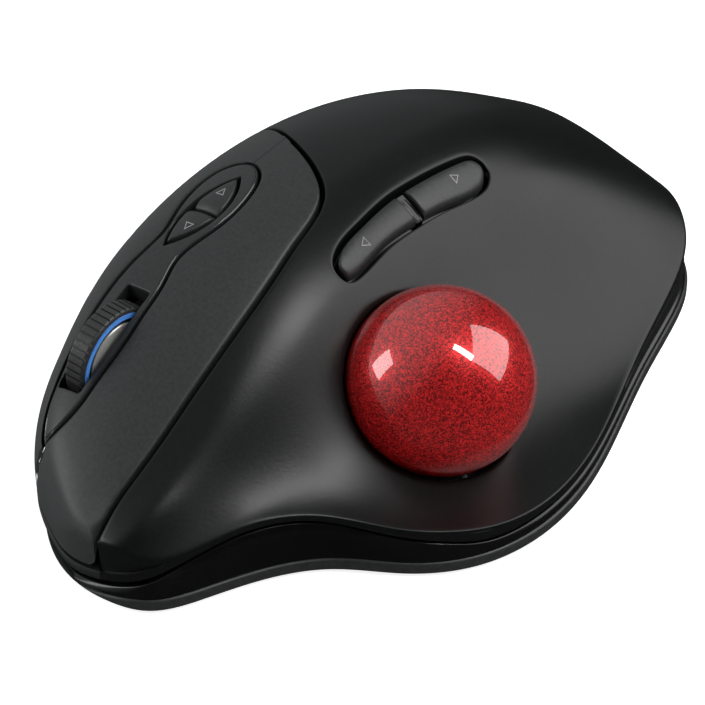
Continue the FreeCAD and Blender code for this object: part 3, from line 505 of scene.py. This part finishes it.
materials = {
    "soft_black": grained("soft_black", (0.024, 0.025, 0.025), 0.46, 1500, 0.1),
    "shell_satin": grained("shell_satin", (0.0045, 0.005, 0.005), 0.3, 1500, 0.06, specular=0.3),
    "edge_satin": grained("edge_satin", (0.012, 0.0125, 0.0125), 0.34, 1500, 0.06),
    "island_black": grained("island_black", (0.02, 0.021, 0.021), 0.4, 1500, 0.1),
    "gloss_black": grained("gloss_black", (0.0035, 0.0035, 0.004), 0.2, 300, 0.0, 0.1, rough_spread=0.05,
                           specular=0.4),
    "trim_satin": grained("trim_satin", (0.045, 0.046, 0.048), 0.24, 800, 0.02, 0.08, metallic=0.6, coat=0.3),
    "base_black": grained("base_black", (0.022, 0.023, 0.024), 0.4, 1200, 0.1),
    "inner_black": grained("inner_black", (0.006, 0.006, 0.006), 0.6, 900, 0.05),
    "inner_white": grained("inner_white", (0.7, 0.7, 0.67), 0.45, 900, 0.03, 0.04),
    "ball_red": glitter("ball_red"),
    "ceramic": grained("ceramic", (0.2, 0.2, 0.2), 0.2, 500, 0.0, 0.03, rough_spread=0.03),
    "lens": grained("lens", (0.75, 0.78, 0.85), 0.08, 300, 0.0, 0.03, rough_spread=0.02, coat=0.6),
    "board_green": grained("board_green", (0.01, 0.1, 0.035), 0.35, 600, 0.03),
    "tyre_rubber": grained("tyre_rubber", (0.03, 0.03, 0.03), 0.42, 2200, 0.25),
    "ring_blue": grained("ring_blue", (0.1, 0.32, 0.88), 0.2, 600, 0.0, 0.06, rough_spread=0.04, coat=0.5),
    "hub_dark": grained("hub_dark", (0.01, 0.01, 0.011), 0.5, 1800, 0.3),
    "cap_silver": grained("cap_silver", (0.62, 0.61, 0.58), 0.25, 900, 0.04, 0.05, metallic=0.55),
    "steel": grained("steel", (0.55, 0.55, 0.54), 0.28, 1200, 0.05, 0.06, metallic=1.0),
    "cell_jacket": grained("cell_jacket", (0.12, 0.12, 0.13), 0.25, 500, 0.0, 0.08, coat=0.5),
    "foot_rubber": grained("foot_rubber", (0.02, 0.02, 0.02), 0.6, 1600, 0.15),
    "mark_grey": grained("mark_grey", (0.3, 0.3, 0.31), 0.4, 900, 0.02, 0.1),
}


def dress(obj, slot, body, *nodes, material=None):
    """Give a piece its finish, set it riding on a body and let it stand for some nodes."""
    obj.data.materials.clear()
    obj.data.materials.append(materials[material or slot])
    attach(obj, body)
    if nodes:
        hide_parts(*nodes)


for entry in frame["record"]["subparts"]:
    node = frame["nodes"].get(entry["node"])
    if node:
        node.data.materials.clear()
        node.data.materials.append(materials[entry["material_slot"]])


# ---------------------------------------------------------------- outlines used by several pieces
flange_loop = smooth_loop(FLANGE)
shell_loop = grown(flange_loop, -SHELL_INSET, nose_bulge)
island_loop = smooth_loop(ISLAND, 0.5)
capsule_loop = smooth_loop(CAPSULE, 0.5)
plate_loop = smooth_loop(KEY_PLATE)
shell_border = Border(loop_segments(shell_loop))
shell_normals = normals(shell_loop)
shell_places = kdtree.KDTree(len(shell_loop))
for number, spot in enumerate(shell_loop):
    shell_places.insert((spot[0], spot[1], 0), number)
shell_places.balance()


def moved_out(x, y, distance):
    """A plan point on the shell's outline, moved along the outline's outward normal."""
    _, number, _ = shell_places.find((x, y, 0))
    out = shell_normals[number]
    return x + out[0] * distance, y + out[1] * distance


def ball_opening():
    """Where the body surface meets a sphere slightly larger than the ball."""
    cx, cy, cz = BALL_CENTRE
    reach = BALL_RADIUS + BALL_GAP
    loop = []
    for i in range(140):
        angle = 2 * math.pi * i / 140
        near, far = 0.0, 2 * BALL_RADIUS
        for _ in range(40):
            middle = 0.5 * (near + far)
            x = cx + middle * math.cos(angle)
            y = cy + middle * math.sin(angle)
            if middle ** 2 + (height(x, y) - cz) ** 2 > reach ** 2:
                far = middle
            else:
                near = middle
        loop.append((cx + far * math.cos(angle), cy + far * math.sin(angle)))
    return loop


ball_loop = ball_opening()
ball_border = Border(loop_segments(ball_loop))


# ---------------------------------------------------------------- top shell
def keep_shell(points):
    """Where the top shell is: inside its outline, outside the keys, the capsule and the ball."""
    kept = inside(points, shell_loop) & ~inside(points, plate_loop)
    return kept & ~inside(points, capsule_loop) & ~inside(points, ball_loop)


def shell_skirt(x, y, z):
    """What hangs from the shell's edges: the side with its edge band, or the lip round the ball."""
    if shell_border.distance(x, y) < ON_LINE:
        foot = parting(x, y)
        line = min(foot + STRIP_HEIGHT, z - 0.15)
        deep = min(BAND_STEP, 0.3 * (z - line))
        rows = []
        for part in (0.3, 0.6, 0.85, 1.0):
            inner = moved_out(x, y, -deep * part ** 0.7)
            rows.append((inner[0], inner[1], z + (line - z) * part))
        inner = moved_out(x, y, -1.5)
        return rows + [(x, y, line - 0.08), (x, y, foot + 0.1), (x, y, foot), (inner[0], inner[1], foot)]
    if ball_border.distance(x, y) < ON_LINE:
        cx, cy, cz = BALL_CENTRE
        out = math.hypot(x - cx, y - cy)
        rows = []
        for step in (0.6, 1.4, 2.4):
            flat = math.sqrt(max(1.0, (BALL_RADIUS + BALL_GAP) ** 2 - (z - step - cz) ** 2))
            rows.append((cx + (x - cx) * flat / out, cy + (y - cy) * flat / out, z - step))
        return rows
    return [(x, y, z - 0.7), (x, y, z - 2.0)]


shell = panel("shell_skin", [shell_loop, plate_loop, capsule_loop, ball_loop], keep_shell, height,
              lambda x, y: EDGE_ROLL, shell_skirt, pitch=1.5, rings=(0.1, 0.25, 0.5, 1.0, 1.8, 2.8))
dress(shell, "soft_black", "housing", "top_shell", material="shell_satin")


def strip_profile(x, y):
    """Cross-section of the shell's edge band where it runs on under the keys."""
    foot = parting(x, y)
    top = foot + STRIP_HEIGHT
    return [(-2.0, top - 0.1), (-0.25, top), (-0.07, top - 0.06), (0.0, top - 0.22), (0.0, foot + 0.15),
            (-0.05, foot), (-1.8, foot)]


in_plate = inside(np.array(shell_loop), plate_loop)
turn = next(i for i in range(len(shell_loop)) if in_plate[i] and not in_plate[i - 1])
turned = shell_loop[turn - 1:] + shell_loop[:turn - 1]
run = int(np.sum(in_plate)) + 2


def open_band(name, loop, count, profile):
    """A strip along the first points of a closed loop."""
    out = normals(loop)
    vertices, faces = [], []
    size = len(profile(*loop[0]))
    for i in range(count):
        x, y = loop[i]
        for outset, z in profile(x, y):
            vertices.append((x + out[i][0] * outset, y + out[i][1] * outset, z))
    for i in range(count - 1):
        for k in range(size - 1):
            faces.append((i * size + k, i * size + k + 1, (i + 1) * size + k + 1, (i + 1) * size + k))
    return make_object(name, vertices, faces)


strip = open_band("shell_strip", turned, run, strip_profile)
dress(strip, "soft_black", "housing", material="edge_satin")


# ---------------------------------------------------------------- gloss wall, flared rim and underside
def wall_profile(x, y):
    """Cross-section of the glossy wall: hollow where it is tall, gently rounded where it is low."""
    top = max(parting(x, y) - PARTING_GAP, rim_top(x, y) + 0.1)
    foot = min(rim_top(x, y) - 0.2, top - 0.2)
    tall = top - foot
    waist = smooth_step(3.0, 9.0, tall)
    rows = [(-3.6, top + 0.3), (-3.5, top), (-1.5, top), (-1.15, top - 0.08)]
    for i in range(9):
        part = i / 8
        concave = -1.05 - 1.5 * math.sin(math.pi * part) + 0.5 * part ** 2
        convex = -1.0 + 0.5 * math.sin(0.5 * math.pi * min(1.0, part * 1.6))
        rows.append((concave * waist + convex * (1 - waist), top - 0.2 - (tall - 0.2) * part))
    return rows


def rim_profile(x, y):
    """Cross-section of the flared rim, rounded over at its upper edge."""
    top = rim_top(x, y)
    radius = min(0.7, 0.45 * (top - FLOOR_GAP) + 0.02)
    rows = [(-5.0, top - 0.05), (-radius - 0.3, top)]
    for i in range(5):
        angle = 0.5 * math.pi * i / 4
        rows.append((-radius + radius * math.sin(angle), top - radius + radius * math.cos(angle)))
    rows += [(0.0, FLOOR_GAP + 0.4 * radius), (-0.3 * radius, FLOOR_GAP + 0.1 * radius), (-radius, FLOOR_GAP)]
    rows.append((-3.0, FLOOR_GAP))
    return rows


wall = band("wall_band", flange_loop, wall_profile)
dress(wall, "gloss_black", "housing", "gloss_wall")
rim = band("rim_band", flange_loop, rim_profile)
dress(rim, "base_black", "housing")


def ring_loop(x, y, radius, count=40):
    """A round outline in plan."""
    turns = [2 * math.pi * i / count for i in range(count)]
    return [(x + radius * math.cos(turn), y + radius * math.sin(turn)) for turn in turns]


def box_loop(x0, x1, y0, y1):
    """A rectangle in plan."""
    return [(x0, y0), (x1, y0), (x1, y1), (x0, y1)]


def make_underside():
    """The flat face of the base with its openings, seen from below; it hangs from its edges upwards."""
    edge = grown(flange_loop, -UNDERSIDE_INSET)
    openings = [box_loop(*DOOR_OPENING), box_loop(*POWER_OPENING), ring_loop(*PUSH_OPENING)]
    openings += [ring_loop(x, y, SCREW_RECESS) for x, y in SCREW_PLACES]

    def keep(points):
        kept = inside(points, edge)
        for opening in openings:
            kept &= ~inside(points, opening)
        return kept

    def wall(x, y, z):
        return [(x, y, z + 0.8), (x, y, z + 1.6)]

    shape = panel("underside_skin", [edge] + openings, keep, lambda x, y: FLOOR_GAP, lambda x, y: 0.0, wall,
                  pitch=6.0, rings=(1.0,))
    shape.data.flip_normals()
    return shape


underside = make_underside()
dress(underside, "base_black", "housing", "base_plate")


# ---------------------------------------------------------------- keys
key_loop = grown(plate_loop, -2 * PANEL_GAP)
island_gap_loop = grown(island_loop, PANEL_GAP)
key_border = Border(loop_segments(key_loop))


def split_line(side):
    """The line between the two keys behind the island, as the edge of one of them."""
    return [(x + side * HAIRLINE, y) for x, y in SPLIT]


def dense(points, spacing=1.0):
    """The same polygon with extra points along its sides."""
    loop = []
    for i, (x0, y0) in enumerate(points):
        x1, y1 = points[(i + 1) % len(points)]
        steps = max(1, int(math.hypot(x1 - x0, y1 - y0) / spacing))
        loop += [(x0 + (x1 - x0) * k / steps, y0 + (y1 - y0) * k / steps) for k in range(steps)]
    return loop


def key_side(side):
    """Plan region on one side of the hairline between the two keys."""
    if side > 0:
        nose = [(20, -80), (-60, -80), (-60, -61.8), (-25.1, -61.4)]
        return dense(nose + split_line(1) + [(20, 18)])
    return dense([(-60, -60.8), (-25.1, -60.4)] + split_line(-1) + [(-60, 18)])


def make_key(name, side, node):
    """One main key: its face, its rolled edges and the lip that turns down at the front."""
    region = key_side(side)

    def keep(points):
        kept = inside(points, shell_loop) & inside(points, key_loop) & inside(points, region)
        return kept & ~inside(points, island_gap_loop)

    def roll(x, y):
        if y > -2 and abs(x + 27.4) < 1.6:
            return HAIRLINE
        front = smooth_step(3.0, 1.2, shell_border.distance(x, y)) * smooth_step(-58, -66, y)
        return EDGE_ROLL + NOSE_ROLL * front * (1 if side > 0 else 0)

    def skirt(x, y, z):
        if shell_border.distance(x, y) < ON_LINE:
            corner = max(0.0, LIP_CORNER - key_border.distance(x, y))
            foot = lip_bottom(x, y) + 0.5 * corner ** 2
            foot = min(foot, z - 0.4)
            rows = [(x, y, foot + 0.2 + (z - foot - 0.2) * part) for part in (0.66, 0.33, 0.0)]
            return rows + [(x, y, foot)]
        return [(x, y, z - 0.7), (x, y, z - 1.8)]

    key = panel(name, [shell_loop, key_loop, region, island_gap_loop], keep, height, roll, skirt,
                rings=(0.1, 0.25, 0.5, 1.0, 1.6, 2.4))
    dress(key, "soft_black", node, node)


def make_shade_liner():
    """A dark sheet well under the two keys, so that nothing shows through the lines between them; it is
    painted shade standing in for the dark inside.
    """
    inner = grown(plate_loop, -1.0)
    edge = grown(shell_loop, -1.4)

    def keep(points):
        return inside(points, edge) & inside(points, inner) & ~inside(points, grown(island_loop, 1.4))

    return panel("key_shade_liner", [edge, inner], keep, lambda x, y: max(1.5, height(x, y) - SHADE_LINER_DEPTH),
                 lambda x, y: 0.0, lambda x, y, z: [(x, y, z - 0.3)], pitch=3.0, rings=(0.8,))


def make_nose_gap_shade():
    """A dark strip sunk in the short gap between the keys in front of the island: painted shade in that gap.
    """
    strip = [(-60, -61.3), (-25.5, -60.9), (-25.5, -60.6), (-60, -61.0)]
    edge = grown(shell_loop, -0.3)

    def keep(points):
        return inside(points, edge) & inside(points, strip)

    return panel("nose_gap_shade", [edge, strip], keep, lambda x, y: max(4.0, height(x, y) - 1.2),
                 lambda x, y: 0.0, lambda x, y, z: [(x, y, max(3.0, z - 3.0))], pitch=1.0, rings=(0.1,))


# Painted shade: these very dark sheets stand in for the shade seen through the gaps round the keys.
dress(make_shade_liner(), "inner_black", "housing")
dress(make_nose_gap_shade(), "inner_black", "housing")
make_key("left_key_skin", 1, "left_key")
make_key("right_key_skin", -1, "right_key")


# ---------------------------------------------------------------- island with its trim and small buttons
def arc_points(start, middle, end, count):
    """Points along the circle arc through three points, without its end."""
    (ax, ay), (bx, by), (cx, cy) = start, middle, end
    d = 2 * (ax * (by - cy) + bx * (cy - ay) + cx * (ay - by))
    a2, b2, c2 = ax * ax + ay * ay, bx * bx + by * by, cx * cx + cy * cy
    ux = (a2 * (by - cy) + b2 * (cy - ay) + c2 * (ay - by)) / d
    uy = (a2 * (cx - bx) + b2 * (ax - cx) + c2 * (bx - ax)) / d
    first = math.atan2(ay - uy, ax - ux)
    last = math.atan2(cy - uy, cx - ux)
    through = math.atan2(by - uy, bx - ux)
    sweep = (last - first) % (2 * math.pi)
    if (through - first) % (2 * math.pi) > sweep:
        sweep -= 2 * math.pi
    size = math.hypot(ax - ux, ay - uy)
    turn_by = [first + sweep * k / count for k in range(count)]
    return [(ux + size * math.cos(t), uy + size * math.sin(t)) for t in turn_by]


def lens_loop(clearance):
    """The lens-shaped outline of the two small buttons, grown by a clearance."""
    front = (-28.1, -24.8 - 1.6 * clearance)
    rear = (-26.7, -4.5 + 1.6 * clearance)
    near = (-23.1 + clearance, -15.1)
    far = (-30.2 - clearance, -13.1)
    return arc_points(front, near, rear, 40) + arc_points(rear, far, front, 40)


def rounded_rectangle(x, y, half_x, half_y, corner, count=6):
    """A rectangle in plan with round corners and closely spaced points."""
    loop = []
    for sx, sy, start in ((1, 1, 0), (-1, 1, 90), (-1, -1, 180), (1, -1, 270)):
        for k in range(count + 1):
            angle = math.radians(start + 90 * k / count)
            loop.append((x + sx * (half_x - corner) + corner * math.cos(angle),
                         y + sy * (half_y - corner) + corner * math.sin(angle)))
    return dense(loop, 0.6)


lens_cap = lens_loop(-0.8)
slot_loop = rounded_rectangle(*SLOT)
lens_gap = lens_loop(-0.1)
island_top_loop = grown(island_loop, -ISLAND_INSET)


def keep_island(points):
    return inside(points, island_top_loop) & ~inside(points, slot_loop) & ~inside(points, lens_gap)


island = panel("island_skin", [island_top_loop, slot_loop, lens_gap], keep_island, height, lambda x, y: 0.2,
               lambda x, y, z: [(x, y, z - 0.6), (x, y, z - 2.6)], pitch=1.0, rings=(0.07, 0.18, 0.4))
dress(island, "island_black", "housing", "wheel_island")


def trim_profile(x, y):
    """Cross-section of the thin bevel round the island."""
    z = height(x, y)
    return [(-0.5, z - 0.4), (-0.46, z - 0.05), (-0.36, z - 0.02), (-0.18, z - 0.16), (-0.08, z - 0.5),
            (-0.05, z - 2.0)]


trim = band("trim_ring", island_loop, trim_profile)
dress(trim, "trim_satin", "housing", "island_trim")


def make_dpi(name, side, node):
    """One of the two small buttons, which dip towards each other, with its mark."""
    edge = DPI_SPLIT + side * DPI_GAP

    def keep(points):
        return inside(points, lens_cap) & ((points[:, 1] - edge) * side > 0)

    def top(x, y):
        across = (x - DPI_CENTRE_X) / 3.0
        valley = 0.9 * math.exp(-((y - DPI_SPLIT) / 1.1) ** 2)
        return height(x, y) + 0.3 - 0.3 * across ** 2 - valley

    cut = dense([(-32, edge), (-22, edge), (-22, edge + side * 14), (-32, edge + side * 14)], 0.5)
    cap = panel(name, [lens_cap, cut], keep, top, lambda x, y: 0.35,
                lambda x, y, z: [(x, y, z - 0.4), (x, y, z - 1.4)], pitch=0.6, rings=(0.08, 0.2, 0.4))
    dress(cap, "soft_black", node, node)
    middle_x = DPI_MARK[0]
    middle_y = DPI_SPLIT + side * DPI_MARK[1]
    mark(name + "_mark", [(middle_x - 0.9, middle_y - side * 0.6), (middle_x + 0.9, middle_y - side * 0.6),
                          (middle_x, middle_y + side * 1.2)], top, 0.3, node)


def mark(name, corners, top, width, body):
    """A thin raised outline round a small shape."""
    centre = np.mean(np.array(corners), axis=0)
    vertices, faces = [], []
    count = len(corners)
    for share, lift in ((1.0, 0.0), (1.0, MARK_LIFT), (1 - width, MARK_LIFT), (1 - width, 0.0)):
        for x, y in corners:
            px = centre[0] + (x - centre[0]) * share
            py = centre[1] + (y - centre[1]) * share
            vertices.append((px, py, top(px, py) + lift))
    for k in range(3):
        for i in range(count):
            j = (i + 1) % count
            faces.append((k * count + i, k * count + j, (k + 1) * count + j, (k + 1) * count + i))
    shape = make_object(name, vertices, faces, smooth=False)
    dress(shape, "soft_black", body, material="mark_grey")


make_dpi("dpi_up_cap", -1, "dpi_up_button")
make_dpi("dpi_down_cap", 1, "dpi_down_button")


# ---------------------------------------------------------------- thumb buttons
button_loop = grown(capsule_loop, -BUTTON_GAP)


def bridge_disc(side, gap=1.1):
    """A large circle whose front edge is one side of the curved bridge."""
    loop = []
    centre_y = BRIDGE_Y + side * gap - BRIDGE_SWEEP
    for i in range(260):
        angle = 2 * math.pi * i / 260
        loop.append((-0.8 + BRIDGE_SWEEP * math.cos(angle), centre_y + BRIDGE_SWEEP * math.sin(angle)))
    return dense(loop, 0.4)


def button_top(x, y):
    """Height of the thumb buttons' slightly crowned faces."""
    across = (x - 0.6 - 0.05 * y) / 3.2
    return height(x, y) + 0.3 - 0.45 * across ** 2


def make_thumb_button(name, side, node, arrow_y):
    """One of the two thumb buttons, with its mark."""
    disc = bridge_disc(side)

    def keep(points):
        within = inside(points, button_loop)
        in_disc = inside(points, disc)
        return within & (in_disc if side < 0 else ~in_disc)

    cap = panel(name, [button_loop, disc], keep, button_top, lambda x, y: 0.6,
                lambda x, y, z: [(x, y, z - 0.5), (x, y, z - 1.1)], pitch=0.8, rings=(0.1, 0.25, 0.5))
    dress(cap, "soft_black", node, node)
    x = 0.4 + 0.06 * arrow_y
    corners = [(x - 0.9, arrow_y - side * 0.6), (x + 0.9, arrow_y - side * 0.6), (x, arrow_y + side * 1.0)]
    mark(name + "_mark", corners, button_top, 0.25, node)


make_thumb_button("forward_cap", -1, "forward_button", -3.0)
make_thumb_button("back_cap", 1, "back_button", 21.5)

bridge_upper = bridge_disc(1, 0.75)
bridge_lower = bridge_disc(-1, 0.75)


def keep_bridge(points):
    return inside(points, button_loop) & inside(points, bridge_upper) & ~inside(points, bridge_lower)


bridge = panel("thumb_bridge", [button_loop, bridge_upper, bridge_lower], keep_bridge,
               lambda x, y: height(x, y) - 0.9, lambda x, y: 0.3,
               lambda x, y, z: [(x, y, z - 0.5), (x, y, z - 2.0)], pitch=0.6, rings=(0.1, 0.25))
dress(bridge, "gloss_black", "housing")


# ---------------------------------------------------------------- wheel caps
def lathe_x(name, centre, profile, count=96):
    """A surface of revolution about a line along X: profile lists (x, radius) pairs."""
    vertices, faces = [], []
    for x, radius in profile:
        for j in range(count):
            turn_by = 2 * math.pi * j / count
            vertices.append((centre[0] + x, centre[1] + radius * math.cos(turn_by),
                             centre[2] + radius * math.sin(turn_by)))
    for i in range(len(profile) - 1):
        for j in range(count):
            k = (j + 1) % count
            faces.append((i * count + j, i * count + k, (i + 1) * count + k, (i + 1) * count + j))
    return make_object(name, vertices, faces)


for label, side in (("thumb", 1), ("palm", -1)):
    dome = [(side * 1.3, 6.9), (side * 1.75, 6.9), (side * 1.9, 6.75)]
    for r in (CAP_RADIUS, 5.5, 4.4, 3.3, 2.2, 1.1, 0.01):
        dome.append((side * (1.95 + CAP_CROWN * (1 - (r / CAP_RADIUS) ** 2)), r))
    step = [(side * 1.4, 7.95), (side * 1.65, 7.8), (side * 1.65, 7.0), (side * 1.3, 6.9)]
    dress(lathe_x("hub_cap_" + label, WHEEL_CENTRE, dome), "cap_silver", "wheel", "hub_caps")
    dress(lathe_x("hub_step_" + label, WHEEL_CENTRE, step), "hub_dark", "wheel")


# ---------------------------------------------------------------- ball
def make_ball():
    """A fine round ball."""
    rows, columns = 72, 144
    cx, cy, cz = BALL_CENTRE
    vertices = [(cx, cy, cz + BALL_RADIUS)]
    for i in range(1, rows):
        polar = math.pi * i / rows
        for j in range(columns):
            turn_by = 2 * math.pi * j / columns
            flat = BALL_RADIUS * math.sin(polar)
            vertices.append((cx + flat * math.cos(turn_by), cy + flat * math.sin(turn_by),
                             cz + BALL_RADIUS * math.cos(polar)))
    vertices.append((cx, cy, cz - BALL_RADIUS))
    last = len(vertices) - 1
    faces = []
    for j in range(columns):
        k = (j + 1) % columns
        faces.append((0, 1 + j, 1 + k))
        for i in range(rows - 2):
            a, b = 1 + i * columns, 1 + (i + 1) * columns
            faces.append((a + j, b + j, b + k, a + k))
        end = 1 + (rows - 2) * columns
        faces.append((end + j, last, end + k))
    return make_object("ball_skin", vertices, faces)


dress(make_ball(), "ball_red", "trackball", "trackball")


# ---------------------------------------------------------------- floor, light and camera
def flat_sheet(name, half, z, cells=8):
    """A square sheet of a few cells."""
    vertices, faces = [], []
    for j in range(cells + 1):
        for i in range(cells + 1):
            vertices.append((-half + 2 * half * i / cells, -half + 2 * half * j / cells, z))
    for j in range(cells):
        for i in range(cells):
            a = j * (cells + 1) + i
            faces.append((a, a + 1, a + cells + 2, a + cells + 1))
    return make_object(name, vertices, faces)


floor = flat_sheet("floor", FLOOR_HALF, -0.05)
floor_material, nodes, links, shader = new_material("floor_white")
shader.inputs["Base Color"].default_value = (0.85, 0.85, 0.85, 1)
shader.inputs["Roughness"].default_value = 0.3
shader.inputs["Emission Color"].default_value = (1, 1, 1, 1)
shader.inputs["Emission Strength"].default_value = 0.85
floor.data.materials.append(floor_material)
floor.visible_glossy = False


def softbox(name, place, target, wide, tall, power):
    """A rectangular studio lamp that faces a target."""
    light = bpy.data.lights.new(name, "AREA")
    light.shape = "RECTANGLE"
    light.size = wide
    light.size_y = tall
    light.energy = power
    lamp = bpy.data.objects.new(name, light)
    lamp.location = place
    lamp.rotation_euler = (Vector(target) - Vector(place)).to_track_quat("-Z", "Y").to_euler()
    bpy.context.scene.collection.objects.link(lamp)


for settings in SOFTBOXES:
    softbox(*settings)

# The surroundings fade from light on one side to dark on the other.
world = bpy.data.worlds.new("studio")
world.use_nodes = True
nodes, links = world.node_tree.nodes, world.node_tree.links
place = nodes.new("ShaderNodeTexCoord")
toward = nodes.new("ShaderNodeVectorMath")
toward.operation = "DOT_PRODUCT"
toward.inputs[1].default_value = BRIGHT_SIDE
ramp = nodes.new("ShaderNodeValToRGB")
ramp.color_ramp.elements[0].position = 0.15
ramp.color_ramp.elements[0].color = (0.03, 0.03, 0.031, 1)
ramp.color_ramp.elements[1].position = 0.9
ramp.color_ramp.elements[1].color = (0.55, 0.57, 0.58, 1)
links.new(place.outputs["Generated"], toward.inputs[0])
links.new(toward.outputs["Value"], ramp.inputs["Fac"])
links.new(ramp.outputs["Color"], nodes["Background"].inputs["Color"])
nodes["Background"].inputs["Strength"].default_value = 1.0
bpy.context.scene.world = world
bpy.context.scene.view_settings.view_transform = "Standard"

# The camera was chosen by comparing trial views with the photo.
camera_data = bpy.data.cameras.new("camera")
camera_data.sensor_width = 36.0
camera_data.lens = CAMERA_LENS
camera_data.shift_x = CAMERA_SHIFT
camera = bpy.data.objects.new("camera", camera_data)
camera.location = CAMERA_PLACE
aim = Vector(CAMERA_TARGET) - Vector(CAMERA_PLACE)
camera.rotation_euler = aim.to_track_quat("-Z", "Y").to_euler()
bpy.context.scene.collection.objects.link(camera)
bpy.context.scene.camera = camera
